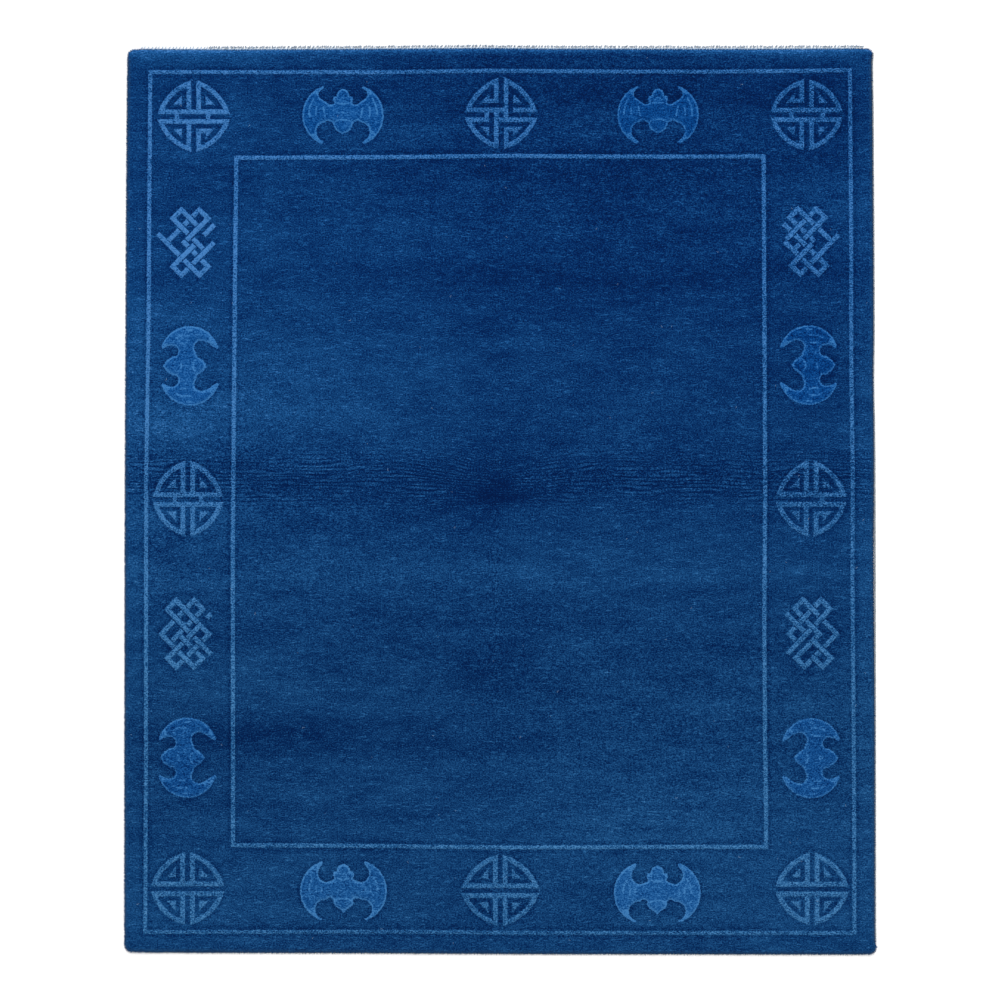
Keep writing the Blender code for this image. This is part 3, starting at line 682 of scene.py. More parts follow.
open_edges = [edge for edge in pile_mesh.edges if edge.is_boundary]
following = {}
for edge in open_edges:
    loop = edge.link_loops[0]
    following[loop.vert] = loop.link_loop_next.vert
rim_loop = [next(iter(following))]
while following[rim_loop[-1]] != rim_loop[0]:
    rim_loop.append(following[rim_loop[-1]])
print(len(open_edges), "edges on the rim,", len(rim_loop), "in one loop")

rings = []
outward = drawn_in([corner.co.xy for corner in rim_loop], -RIM_INSET)
for inset, height in WALL:
    base = drawn_in(outward, inset)
    ring = [pile_mesh.verts.new((*place, height)) for place in base]
    for vertex in ring:
        vertex[layers["edge_distance"]] = -DISTANCE_LIMIT
        vertex[layers["line_distance"]] = DISTANCE_LIMIT
        vertex[layers["ground_tone"]] = ground_tone(vertex.co.x, vertex.co.y)
        vertex[layers["worn"]] = 1.0 if vertex.co.y < WORN_TOP else 0.0
    rings.append(ring)
rings.append(rim_loop)
for low, high in zip(rings, rings[1:]):
    for k in range(len(low)):
        following_k = (k + 1) % len(low)
        pile_mesh.faces.new((low[k], low[following_k], high[following_k], high[k]))
pile_mesh.faces.new(rings[0][::-1])
bmesh.ops.triangulate(pile_mesh, faces=[face for face in pile_mesh.faces if len(face.verts) > 3])
for face in pile_mesh.faces:
    face.smooth = face.normal.z > UNDERSIDE
print(len(pile_mesh.faces), "triangles in the whole pile")


def finished_piece(name, mesh, materials):
    """Turn a bmesh into an object at the origin with these materials."""
    data = bpy.data.meshes.new(name)
    mesh.to_mesh(data)
    mesh.free()
    for material in materials:
        data.materials.append(material)
    piece = bpy.data.objects.new(name, data)
    bpy.context.scene.collection.objects.link(piece)
    return piece


# %% [markdown]
# ## Hand-knotted wool
# The pile is blue wool yarn tied in knots 2 to 3 mm apart and clipped. A camera high above it doesn't
# see single tufts, it sees a dry, matt cloth with a fine grain in wavy rows, soft clouds, partly where
# one lot of yarn gives way to the next and partly painted sheen where the nap lies another way, and
# light figures with a slightly ragged edge. Wool scatters light inside its fibres, so it is very rough
# and hardly mirrors anything. Where the grain is light it is also greyer, because the cut tips of the
# fibres scatter white light, so the tone picks a colour from a ramp that runs from deep blue to pale
# grey blue.

# %% The wool's material
# Tone and colour of the wool: fresher at the top of the rug, more faded at the bottom, and the bats.
WOOL_TONES = (0.20, 0.35, 0.50, 0.70, 0.90, 1.15)
TOP_WOOL = ("001A48", "002661", "083970", "154F8A", "2363A7", "4A86C8")
FOOT_WOOL = ("001845", "002558", "0B396A", "1A4F84", "286399", "4C86BB")
BAT_WOOL = ("001642", "002764", "003A7D", "0A4F96", "2264AA", "3C7FC0")
WORN_WOOL = "234A72"  # the outermost wool, its blue dulled by feet and brooms
WORN_SHARE = 0.60
LIGHTEST_TONE = 1.25
FLOOR_LIGHT = 1.42  # the light on the rug; the wool is this much darker than the colours above
RAGGED = 0.0009  # how far the knots' edges stray from a figure's true outline
EDGE_SOFTNESS = 0.0010
BAT_OUTLINE = 0.0050  # the light outline inside a bat's edge
BAT_LINE_HALF = 0.0029
WAVE_SIZE = 0.070  # the rows of knots wander this slowly
WAVE_REACH = (0.004, 0.012, 0.0)
FADE_FROM, FADE_TO = 0.8, -0.6  # the wool fades between these places along the rug
ROWS_SHARE, BUMP_STRENGTH, BUMP_HEIGHT = 0.6, 0.35, 0.0015
WOOL_ROUGHNESS, WOOL_MIRROR = 0.95, 0.04
# Name: size across, size along, detail. Single tufts are 2 to 3 mm, finer than the render shows, so
# the finest grain stands for about two tufts side by side.
WOOL_GRAINS = {
    "tufts": (0.0048, 0.0032, 1.0),
    "rows": (0.0260, 0.0062, 1.0),
    "lots": (0.0700, 0.0210, 2.0),
    "drifts": (0.2400, 0.0650, 3.0),
    "wisps": (0.0170, 0.0036, 0.0),
    "pleats": (0.1400, 0.0300, 1.0),
    "puckers": (0.0060, 0.0120, 1.0),
}
GRAIN_TONES = {"tufts": 1.42, "rows": 0.25, "lots": 0.30, "drifts": 0.30}  # how strongly each one shows
LIGHT_WOOL_TUFTS = 0.45  # the light wool's tufts show this much more
FOOT_CALM = 0.94  # towards the rug's foot, where the nap lies flatter, every grain shows this much
CALM_FROM, CALM_TO = 0.30, -0.60
CREASED_TUFTS = 0.35  # and so do the tufts along the fold
MARK_TUFTS = 0.65  # and those of the bats' light lines
PUCKER_TONE = 1.10
WISP_TONE = 0.24  # stray light fibres on the pile
WISP_FROM, WISP_TO = 0.60, 0.80  # only the wisps' lightest peaks show
# How strongly the pleats along the old fold are painted with shade and highlight.
PLEAT_SHADING = 0.34
PLEAT_TOP, PLEAT_HIGHLIGHT = 0.1, 0.4  # past this part of its swing a pleat is level and gets this much painted highlight
FIGURE_QUIET = 0.6  # the pleats show this much less on the light wool
PLEAT_STRAY = 2.2  # how many rows a pleat may wander
PLEATS_FROM, PLEATS_TO = 0.38, 0.60  # the pleats show where the lots' noise is high


def new_material(name):
    """A material with its tree emptied but for the shader and the output."""
    material = bpy.data.materials.new(name)
    material.use_nodes = True
    return material, material.node_tree, material.node_tree.nodes["Principled BSDF"]


def centred(tree, noise, strength, tone):
    """A tone with a noise added, lighter where the noise is over its middle and darker where under."""
    lighter = add_node(tree, "ShaderNodeMath", {0: noise, 1: 0.5}, operation="SUBTRACT")
    inputs = {0: lighter, 1: strength, 2: tone}
    return add_node(tree, "ShaderNodeMath", inputs, operation="MULTIPLY_ADD")


def within(tree, distance, limit):
    """1 where a distance is less than a limit and 0 where it is more, with a soft step between."""
    inputs = {"Value": distance, "From Min": limit + EDGE_SOFTNESS, "From Max": limit - EDGE_SOFTNESS}
    return add_node(tree, "ShaderNodeMapRange", inputs, interpolation_type="SMOOTHSTEP")


def wool_grains(tree, place):
    """Every grain's noise, along rows of knots that wander a little."""
    wave = add_node(tree, "ShaderNodeTexNoise", {"Vector": place, "Scale": 1 / WAVE_SIZE, "Detail": 1.0})
    inputs = {0: wave.outputs["Color"], 1: (0.5, 0.5, 0.5)}
    swing = add_node(tree, "ShaderNodeVectorMath", inputs, operation="SUBTRACT")
    inputs = {0: swing, 1: WAVE_REACH, 2: place}
    wavy = add_node(tree, "ShaderNodeVectorMath", inputs, operation="MULTIPLY_ADD")
    noises = {}
    for name, (across, along, detail) in WOOL_GRAINS.items():
        inputs = {"Vector": wavy, "Scale": (1 / across, 1 / along, 1 / along)}
        stretched = add_node(tree, "ShaderNodeMapping", inputs)
        inputs = {"Vector": stretched, "Scale": 1.0, "Detail": detail, "Roughness": 0.6}
        noises[name] = add_node(tree, "ShaderNodeTexNoise", inputs).outputs["Fac"]
    return noises


def painted_pleat_shading(tree, read, grains, figure):
    """Painted shade in fine lines where the rows of knots open along the old fold, with painted highlight on
    the level rows between.
    """
    inputs = {0: grains["pleats"], 1: PLEAT_STRAY, 2: read["pleat_row"]}
    row = add_node(tree, "ShaderNodeMath", inputs, operation="MULTIPLY_ADD")
    turn = add_node(tree, "ShaderNodeMath", {0: row, 1: 2 * math.pi}, operation="MULTIPLY")
    swing = add_node(tree, "ShaderNodeMath", {0: turn}, operation="SINE")
    inputs = {"Value": swing, "From Min": -1.0, "From Max": PLEAT_TOP}
    inputs.update({"To Min": -1.0, "To Max": PLEAT_HIGHLIGHT})
    line = add_node(tree, "ShaderNodeMapRange", inputs)
    inputs = {"Value": grains["lots"], "From Min": PLEATS_FROM, "From Max": PLEATS_TO, "To Max": PLEAT_SHADING}
    share = add_node(tree, "ShaderNodeMapRange", inputs)
    inputs = {0: figure, 1: -FIGURE_QUIET, 2: 1.0}
    quiet = add_node(tree, "ShaderNodeMath", inputs, operation="MULTIPLY_ADD")
    for factor in (read["creased"], quiet, line):
        share = add_node(tree, "ShaderNodeMath", {0: share, 1: factor}, operation="MULTIPLY")
    return share


def wool_tone(tree, read, grains, place):
    """The wool's tone from its ground, figures, marks and grains, and where the light wool is."""
    stray = add_node(tree, "ShaderNodeMath", {0: grains["tufts"], 1: -0.5}, operation="ADD")
    strayed = {}
    for name in ("edge_distance", "line_distance"):
        inputs = {0: stray, 1: 2 * RAGGED, 2: read[name]}
        strayed[name] = add_node(tree, "ShaderNodeMath", inputs, operation="MULTIPLY_ADD")
    outside = within(tree, strayed["edge_distance"], 0.0)
    figure = add_node(tree, "ShaderNodeMath", {0: 1.0, 1: outside}, operation="SUBTRACT")
    inputs = {0: figure, 2: read["ground_tone"], 3: read["figure_tone"]}
    tone = add_node(tree, "ShaderNodeMix", inputs, data_type="FLOAT")

    outline = within(tree, strayed["edge_distance"], BAT_OUTLINE)
    lines = within(tree, strayed["line_distance"], BAT_LINE_HALF)
    marks = add_node(tree, "ShaderNodeMath", {0: outline, 1: lines}, operation="MAXIMUM")
    marks = add_node(tree, "ShaderNodeMath", {0: marks, 1: figure}, operation="MULTIPLY")
    inputs = {0: marks, 1: read["bat_marks"], 2: tone}
    tone = add_node(tree, "ShaderNodeMath", inputs, operation="MULTIPLY_ADD")

    grain = 0.0
    for name, strength in GRAIN_TONES.items():
        grain = centred(tree, grains[name], strength, grain)
    plain_figure = add_node(tree, "ShaderNodeMath", {0: figure, 1: read["fresh_dye"]}, operation="SUBTRACT")
    plain_figure.use_clamp = True
    stronger = ((plain_figure, LIGHT_WOOL_TUFTS), (read["creased"], CREASED_TUFTS), (marks, MARK_TUFTS))
    extra = 0.0
    for where, strength in stronger:
        inputs = {0: where, 1: strength, 2: extra}
        extra = add_node(tree, "ShaderNodeMath", inputs, operation="MULTIPLY_ADD")
    grain = centred(tree, grains["tufts"], extra, grain)
    inputs = {0: read["puckered"], 1: PUCKER_TONE}
    puckering = add_node(tree, "ShaderNodeMath", inputs, operation="MULTIPLY")
    grain = centred(tree, grains["puckers"], puckering, grain)
    along = add_node(tree, "ShaderNodeSeparateXYZ", {0: place}).outputs["Y"]
    inputs = {"Value": along, "From Min": CALM_FROM, "From Max": CALM_TO, "To Min": 1.0, "To Max": FOOT_CALM}
    calm = add_node(tree, "ShaderNodeMapRange", inputs)
    inputs = {0: grain, 1: calm, 2: tone}
    tone = add_node(tree, "ShaderNodeMath", inputs, operation="MULTIPLY_ADD")
    # the pleats' painted shade and highlight
    pleated = painted_pleat_shading(tree, read, grains, figure)
    tone = add_node(tree, "ShaderNodeMath", {0: tone, 1: pleated})
    inputs = {"Value": grains["wisps"], "From Min": WISP_FROM, "From Max": WISP_TO, "To Max": WISP_TONE}
    wisps = add_node(tree, "ShaderNodeMapRange", inputs)
    return add_node(tree, "ShaderNodeMath", {0: tone, 1: wisps}, operation="ADD"), figure


def wool_colour(tree, tone, place, fresh, worn):
    """The blue for a tone: fresher at the rug's top, more faded at its bottom, deeper on the bats."""
    share = add_node(tree, "ShaderNodeMath", {0: tone, 1: LIGHTEST_TONE}, operation="DIVIDE")
    colours = []
    for stops in (TOP_WOOL, FOOT_WOOL, BAT_WOOL):
        ramp = add_node(tree, "ShaderNodeValToRGB", {"Fac": share})
        elements = ramp.color_ramp.elements
        while len(elements) < len(stops):
            elements.new(0.5)
        for element, at, colour in zip(elements, WOOL_TONES, stops):
            element.position = at / LIGHTEST_TONE
            element.color = linear(colour)
        colours.append(ramp.outputs["Color"])
    along = add_node(tree, "ShaderNodeSeparateXYZ", {0: place}).outputs["Y"]
    inputs = {"Value": along, "From Min": FADE_FROM, "From Max": FADE_TO}
    faded = add_node(tree, "ShaderNodeMapRange", inputs)
    inputs = {0: faded, 6: colours[0], 7: colours[1]}
    blue = add_node(tree, "ShaderNodeMix", inputs, data_type="RGBA").outputs[2]
    inputs = {0: fresh, 6: blue, 7: colours[2]}
    wool_blue = add_node(tree, "ShaderNodeMix", inputs, data_type="RGBA").outputs[2]
    worn = add_node(tree, "ShaderNodeMath", {0: worn, 1: WORN_SHARE}, operation="MULTIPLY")
    inputs = {0: worn, 6: wool_blue, 7: linear(WORN_WOOL)}
    wool_blue = add_node(tree, "ShaderNodeMix", inputs, data_type="RGBA").outputs[2]
    inputs = {0: wool_blue, "Scale": 1 / FLOOR_LIGHT}
    return add_node(tree, "ShaderNodeVectorMath", inputs, operation="SCALE")


def wool_material():
    """Clipped hand-knotted wool: matt, dark, grainy, with light figures and carved edges."""
    material, tree, shader = new_material("hand_knotted_wool")
    place = add_node(tree, "ShaderNodeTexCoord").outputs["Object"]
    read = {}
    for name in tones:
        read[name] = add_node(tree, "ShaderNodeAttribute", attribute_name=name).outputs["Fac"]
    grains = wool_grains(tree, place)
    tone, figure = wool_tone(tree, read, grains, place)
    inputs = {0: read["fresh_dye"], 1: figure}
    fresh = add_node(tree, "ShaderNodeMath", inputs, operation="MULTIPLY")
    colour = wool_colour(tree, tone, place, fresh, read["worn"])
    tree.links.new(colour.outputs[0], shader.inputs["Base Color"])

    inputs = {0: grains["rows"], 1: ROWS_SHARE, 2: grains["tufts"]}
    height = add_node(tree, "ShaderNodeMath", inputs, operation="MULTIPLY_ADD")
    inputs = {"Height": height, "Strength": BUMP_STRENGTH, "Distance": BUMP_HEIGHT}
    bump = add_node(tree, "ShaderNodeBump", inputs)
    tree.links.new(bump.outputs[0], shader.inputs["Normal"])
    shader.inputs["Roughness"].default_value = WOOL_ROUGHNESS
    shader.inputs["Specular IOR Level"].default_value = WOOL_MIRROR
    return material


wool = wool_material()
wool_pile = finished_piece("wool_pile", pile_mesh, [wool])
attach(wool_pile, "root")
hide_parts("knotted_pile")
print("wool_pile has", len(wool_pile.data.polygons), "triangles")

# %% [markdown]
# ## Plied yarn
# The foundation is undyed cotton: the warp that the knots are tied on and the weft between their rows.
# At the ends it shows as a narrow flat web, plied, pale, slightly blue from the wool and quite matt.
# The same function makes the dull blue yarn of the outermost wool, where feet and brooms have worn at
# the dye.

# %% The yarns' materials
COTTON_PALE = "C6D5E6"
COTTON_GREY = "A0AEBF"
STAINED_PALE = "BACEE2"  # the web beside the wool has taken some of its blue
STAINED_GREY = "97B2CC"
WORN_PALE = "2A5A86"  # the outermost wool, its blue dulled by wear
WORN_GREY = "1B4068"
SHADED_TIP_PALE = "94A2B2"  # grey tips over the cut ends, painted shade for the dark gaps between them
SHADED_TIP_GREY = "6E7B8A"
AGED_PALE = "9EA4A8"
AGED_GREY = "7A8288"
PLY_SIZE = 0.0012
CLUMP_SIZE = 0.009
MOTTLE_FROM, MOTTLE_TO = 0.12, 0.36
YARN_BUMP, YARN_BUMP_HEIGHT = 0.5, 0.0005
YARN_ROUGHNESS, YARN_MIRROR = 0.9, 0.2


def yarn_material(name, pale, dark):
    """Plied yarn: matt, with a fine mottle along its plies."""
    material, tree, shader = new_material(name)
    place = add_node(tree, "ShaderNodeTexCoord").outputs["Object"]
    noises = []
    for size in (PLY_SIZE, CLUMP_SIZE):
        inputs = {"Vector": place, "Scale": 1 / size, "Detail": 2.0}
        noises.append(add_node(tree, "ShaderNodeTexNoise", inputs).outputs["Fac"])
    inputs = {0: noises[0], 1: noises[1]}
    both = add_node(tree, "ShaderNodeMath", inputs, operation="MULTIPLY")
    inputs = {"Value": both, "From Min": MOTTLE_FROM, "From Max": MOTTLE_TO}
    share = add_node(tree, "ShaderNodeMapRange", inputs)
    inputs = {0: share, 6: linear(dark), 7: linear(pale)}
    colour = add_node(tree, "ShaderNodeMix", inputs, data_type="RGBA").outputs[2]
    tree.links.new(colour, shader.inputs["Base Color"])
    inputs = {"Height": noises[0], "Strength": YARN_BUMP, "Distance": YARN_BUMP_HEIGHT}
    bump = add_node(tree, "ShaderNodeBump", inputs)
    tree.links.new(bump.outputs[0], shader.inputs["Normal"])
    shader.inputs["Roughness"].default_value = YARN_ROUGHNESS
    shader.inputs["Specular IOR Level"].default_value = YARN_MIRROR
    return material


pale_cotton = yarn_material("undyed_cotton_yarn", COTTON_PALE, COTTON_GREY)
stained_cotton = yarn_material("blue_stained_cotton_yarn", STAINED_PALE, STAINED_GREY)
aged_cotton = yarn_material("aged_cotton_yarn", AGED_PALE, AGED_GREY)
shaded_tip_cotton = yarn_material("shaded_tip_cotton_yarn", SHADED_TIP_PALE, SHADED_TIP_GREY)
worn_wool = yarn_material("worn_wool_yarn", WORN_PALE, WORN_GREY)
print("materials so far:", [material.name for material in bpy.data.materials])

# %% [markdown]
# ## Yarns in a row
# Much of a rug's edge is the same small thing again and again: tufts that lean over the rim, cut ends
# of the cotton warp, threads that fray. They could be modelled one by one, but Geometry Nodes repeat
# one yarn along a line with a little chance in its place and its lean. The tree is built once, with its
# sizes as named inputs, and each row below sets those inputs for its own yarn. The round section and the
# end of the tree are functions of their own, because the lint further down is made with them too.

# %% One geometry tree for every row of yarns
YARN_SIDES = 4
YARN_STEPS = 3
YARN_TIP = 0.6  # how thick a yarn still is at its tip


def add_inputs(tree, sizes):
    """Give a geometry tree its geometry sockets and one named input for each size."""
    tree.interface.new_socket("Source", in_out="INPUT", socket_type="NodeSocketGeometry")
    tree.interface.new_socket("Geometry", in_out="OUTPUT", socket_type="NodeSocketGeometry")
    for name, kind in sizes:
        tree.interface.new_socket(name, in_out="INPUT", socket_type=kind)


def halved(tree, size):
    """Half of one of a tree's sizes."""
    return add_node(tree, "ShaderNodeMath", {0: size, 1: 0.5}, operation="MULTIPLY")


def round_thread(tree, spine, thickness, scale=1.0):
    """A closed round thread along a spine, thinner where scale is less than 1."""
    inputs = {"Resolution": YARN_SIDES, "Radius": halved(tree, thickness)}
    section = add_node(tree, "GeometryNodeCurvePrimitiveCircle", inputs)
    inputs = {"Curve": spine, "Profile Curve": section, "Scale": scale, "Fill Caps": True}
    return add_node(tree, "GeometryNodeCurveToMesh", inputs)


def finish_tree(tree, copies, finish):
    """Make a tree's copies real, give them their material and pass them out."""
    real = add_node(tree, "GeometryNodeRealizeInstances", {"Geometry": copies})
    inputs = {"Geometry": real, "Material": finish}
    painted = add_node(tree, "GeometryNodeSetMaterial", inputs)
    add_node(tree, "NodeGroupOutput", {"Geometry": painted})


def yarn_row_tree():
    """Yarns along a line, each pointing to the line's left, then leaning and rising by chance."""
    tree = bpy.data.node_groups.new("yarns_in_a_row", "GeometryNodeTree")
    number, vector = "NodeSocketFloat", "NodeSocketVector"
    sizes = [("Spacing", number), ("Length", number), ("Thickness", number), ("Scatter", vector)]
    sizes += [("Least Turn", vector), ("Most Turn", vector), ("Curl", number)]
    add_inputs(tree, sizes + [("Seed", "NodeSocketInt"), ("Finish", "NodeSocketMaterial")])
    given = add_node(tree, "NodeGroupInput").outputs
    line = add_node(tree, "GeometryNodeMeshToCurve", {"Mesh": given["Source"]})
    inputs = {"Curve": line, "Length": given["Spacing"]}
    spots = add_node(tree, "GeometryNodeCurveToPoints", inputs, mode="LENGTH").outputs
    inputs = {0: given["Scatter"], "Scale": -1.0}
    opposite = add_node(tree, "ShaderNodeVectorMath", inputs, operation="SCALE")
    chances = []
    for least, most in ((opposite, given["Scatter"]), (given["Least Turn"], given["Most Turn"])):
        inputs = {"Min": least, "Max": most, "Seed": given["Seed"]}
        chances.append(add_node(tree, "FunctionNodeRandomValue", inputs, data_type="FLOAT_VECTOR"))
    inputs = {"Geometry": spots[0], "Offset": chances[0]}
    moved = add_node(tree, "GeometryNodeSetPosition", inputs)
    inputs = {"Vector": spots["Tangent"]}
    facing = add_node(tree, "FunctionNodeAlignRotationToVector", inputs, axis="X", pivot_axis="Z")
    inputs = {"Rotation": facing, "Rotate By": chances[1]}
    turned = add_node(tree, "FunctionNodeRotateRotation", inputs, rotation_space="LOCAL")

    tip = add_node(tree, "ShaderNodeCombineXYZ", {"X": given["Curl"], "Y": given["Length"]})
    bend = add_node(tree, "ShaderNodeCombineXYZ", {"Y": halved(tree, given["Length"])})
    inputs = {"Resolution": YARN_STEPS, "Start": (0.0, 0.0, 0.0), "End": tip}
    inputs.update({"Start Handle": bend, "End Handle": bend})
    spine = add_node(tree, "GeometryNodeCurvePrimitiveBezierSegment", inputs)
    along = add_node(tree, "GeometryNodeSplineParameter").outputs["Factor"]
    inputs = {"Value": along, "To Min": 1.0, "To Max": YARN_TIP}
    taper = add_node(tree, "ShaderNodeMapRange", inputs)
    yarn = round_thread(tree, spine, given["Thickness"], taper)
    smooth = add_node(tree, "GeometryNodeSetShadeSmooth", {"Geometry": yarn})
    inputs = {"Points": moved, "Instance": smooth, "Rotation": turned}
    row = add_node(tree, "GeometryNodeInstanceOnPoints", inputs)
    finish_tree(tree, row, given["Finish"])
    return tree


def line_mesh(run):
    """A run of points as a mesh of edges, for a row of yarns to follow."""
    data = bpy.data.meshes.new("line")
    data.from_pydata([tuple(point) for point in run], [(k, k + 1) for k in range(len(run) - 1)], [])
    return data


def grown_mesh(tree, source, sizes):
    """Run a geometry tree on a mesh and return its result as a plain mesh."""
    holder = bpy.data.objects.new("source", source)
    bpy.context.scene.collection.objects.link(holder)
    modifier = holder.modifiers.new("grow", "NODES")
    modifier.node_group = tree
    for item in tree.interface.items_tree:
        if item.name in sizes:
            modifier[item.identifier] = sizes[item.name]
    evaluated = holder.evaluated_get(bpy.context.evaluated_depsgraph_get())
    result = bpy.data.meshes.new_from_object(evaluated)
    holder.modifiers.remove(modifier)
    bpy.data.objects.remove(holder)
    return result


yarn_rows = yarn_row_tree()
print("the tree has", len(yarn_rows.nodes), "nodes")

# %% [markdown]
# ## The lines that the rows follow
# The wall of the pile stands on the solid's outline on the floor. Its ends give the lines for the
# cotton, and the whole loop gives the line for the tufts on the rim. A row points to the left of its
# line, so the lines run clockwise, with the outside of the rug on their left.

# %% Lines along the rug's edge
CORNER_START = 1.20  # past this the edge turns round the corner
END_START = 1.40  # and past this it is one of the ends


def end_y(x, end):
    """Where the pile's wall stands at an end: end is 1 for the top and -1 for the bottom."""
    ring = sorted((p.x, p.y) for p in floor_ring if p.y * end > END_START and abs(p.x) < CORNER_START)
    for (x0, y0), (x1, y1) in zip(ring, ring[1:]):
        if x <= x1:
            return y0 + (y1 - y0) * (x - x0) / (x1 - x0)
    return ring[-1][1]


def end_run(low, high, end, out, height, step=0.02):
    """Points past an end of the pile from low to high, clockwise round the rug."""
    count = round((high - low) / step)
    places = [low + (high - low) * k / count for k in range(count + 1)]
    run = [Vector((x, end_y(x, end) + end * out, height)) for x in places]
    return run if end > 0 else run[::-1]


print("the rug's edge is", round(sum((a - b).length for a, b in zip(rim, rim[1:] + rim[:1])), 2), "m long")

# %% [markdown]
# ## Tufts on the rim
# At the rim nothing holds the outermost knots upright, so they lean out over the edge and make it soft
# and a little uneven. Each is a short thick yarn of the same wool.

# %% Make the tufts on the rim
RIM_TUFT = {"Spacing": 0.0036, "Thickness": 0.0030, "Curl": 0.0008, "Scatter": (0.0008, 0.0008, 0.0006)}
RISE_CHANCE = 0.3
# Height, inset, length, rise and seed of the row of blue tufts and of the worn row below it.
TUFT_ROWS = ((0.0078, 0.0034, 0.0055, 0.55, 11), (0.0045, 0.0022, 0.0065, 0.10, 12))
TOP_PULL = 0.0011  # at the top end the tufts stand back, so that the cotton web shows
PULL_END, PULL_TAPER = 1.205, 0.030  # towards the corners they come forward again
SIDE_PULL = 0.0012  # and where the selvage bulges they stand back this far


def set_wool_values(mesh):
    """Give a mesh of loose wool the attributes that the wool's material reads: all of it is ground."""
    plain = {"edge_distance": -DISTANCE_LIMIT, "line_distance": DISTANCE_LIMIT}
    for name in tones:
        values = [plain.get(name, 0.0)] * len(mesh.vertices)
        if name == "ground_tone":
            values = [ground_tone(vertex.co.x, vertex.co.y) for vertex in mesh.vertices]
        if name == "worn":
            values = [1.0 if vertex.co.y < WORN_TOP else 0.0 for vertex in mesh.vertices]
        mesh.attributes.new(name, "FLOAT", "POINT").data.foreach_set("value", values)


def rim_tufts():
    """The rows of tufts round the rug as plain meshes."""
    meshes = []
    for height, inset, length, rise, seed in TUFT_ROWS:
        run = []
        for place in reversed(drawn_in(rim, inset)):
            from_corner = short_of(PULL_END, place.x, PULL_TAPER)
            pull = TOP_PULL * from_corner if place.y > SELVAGE_END else 0.0
            side_pull = SIDE_PULL * selvage_bulge(place.y) if place.x > SELVAGE_SIDE else 0.0
            run.append(Vector((place.x - side_pull, place.y - pull, height)))
        sizes = {**RIM_TUFT, "Length": length, "Seed": seed, "Finish": wool}
        sizes["Least Turn"] = (rise - RISE_CHANCE, -0.2, -0.45)
        sizes["Most Turn"] = (rise + RISE_CHANCE, 0.2, 0.35)
        meshes.append(grown_mesh(yarn_rows, line_mesh(run + run[:1]), sizes))
    return meshes


def joined(meshes, slots=None):
    """Several plain meshes as one bmesh, each with its own material slot where slots gives one."""
    whole = bmesh.new()
    for k, mesh in enumerate(meshes):
        first_face = len(whole.faces)
        whole.from_mesh(mesh)
        whole.faces.ensure_lookup_table()
        for face in whole.faces[first_face:]:
            face.material_index = slots[k] if slots else 0
        bpy.data.meshes.remove(mesh)
    return whole


tuft_piece = finished_piece("rim_tufts", joined(rim_tufts(), [0, 1]), [wool, worn_wool])
set_wool_values(tuft_piece.data)
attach(tuft_piece, "root")
print("rim_tufts has", len(tuft_piece.data.polygons), "faces")

# %% [markdown]
# ## The web and the cut warp ends at the top
# Past the last row of knots a few picks of weft hold the pile in, and the warp was cut just beyond
# them. The web is made as weft yarns laid side by side, swept along the end of the pile. The cut warp
# ends are a row of short thick yarns that all lean the same way, with greyer tips over them that are
# painted shade, for the dark gaps between the ends.

# %% Make the top web and its warp ends
WEFT_YARN = 0.0013
TOP_PICKS = 4
PICK_HEIGHT, PICK_STEP = 0.0012, 0.012
PICK_SPREAD = 0.92  # weft yarns press into one another, so each is this much of its thickness further out
PICK_STRAY, PICK_RISE = 0.0002, 0.0003
TOP_SEED = 4
WEB_GAP = 0.0003
WARP_PITCH = 0.0113
WARP_OUT, WARP_HEIGHT = 0.0036, 0.0016
END_RAGGED = 0.030  # the weft yarns of a web stop this unevenly
TIP_OUT, TIP_HEIGHT = 0.0084, 0.0024  # the grey tips of painted shade start this far past the pile
TIP_PITCH = 0.0064  # they lie closer together than the warp ends, which have frayed
TIP_START = 0.220  # and this far in from the web's left end


def swept_yarn(run, thickness, sides=6):
    """A closed round yarn along a run of points, as a bmesh."""
    mesh = bmesh.new()
    rings = []
    for k, here in enumerate(run):
        along = (run[min(k + 1, len(run) - 1)] - run[max(k - 1, 0)]).normalized()
        side = along.cross(Vector((0.0, 0.0, 1.0))).normalized()
        ring = []
        for n in range(sides):
            angle = 2 * math.pi * n / sides
            away = side * math.cos(angle) + Vector((0.0, 0.0, 1.0)) * math.sin(angle)
            ring.append(mesh.verts.new(here + away * thickness / 2))
        rings.append(ring)
    for low, high in zip(rings, rings[1:]):
        for n in range(sides):
            following_n = (n + 1) % sides
            mesh.faces.new((low[n], low[following_n], high[following_n], high[n]))
    mesh.faces.new(rings[0][::-1])
    mesh.faces.new(rings[-1])
    bmesh.ops.recalc_face_normals(mesh, faces=mesh.faces[:])
    for face in mesh.faces:
        face.smooth = True
    return mesh


def weft_picks(low, high, end, count, first_out, seed):
    """Weft yarns side by side past an end of the pile, each wandering a little."""
    chance = random.Random(seed)
    meshes = []
    for pick in range(count):
        out = first_out + pick * WEFT_YARN * PICK_SPREAD
        starts = (low + chance.uniform(0.0, END_RAGGED), high - chance.uniform(0.0, END_RAGGED))
        run = end_run(*starts, end, out, PICK_HEIGHT, step=PICK_STEP)
        strays = [(0.0, chance.uniform(-PICK_STRAY, PICK_STRAY), chance.uniform(0.0, PICK_RISE)) for _ in run]
        run = [here + Vector(stray) for here, stray in zip(run, strays)]
        yarn = swept_yarn(run, WEFT_YARN)
        data = bpy.data.meshes.new("pick")
        yarn.to_mesh(data)
        yarn.free()
        meshes.append(data)
    return meshes


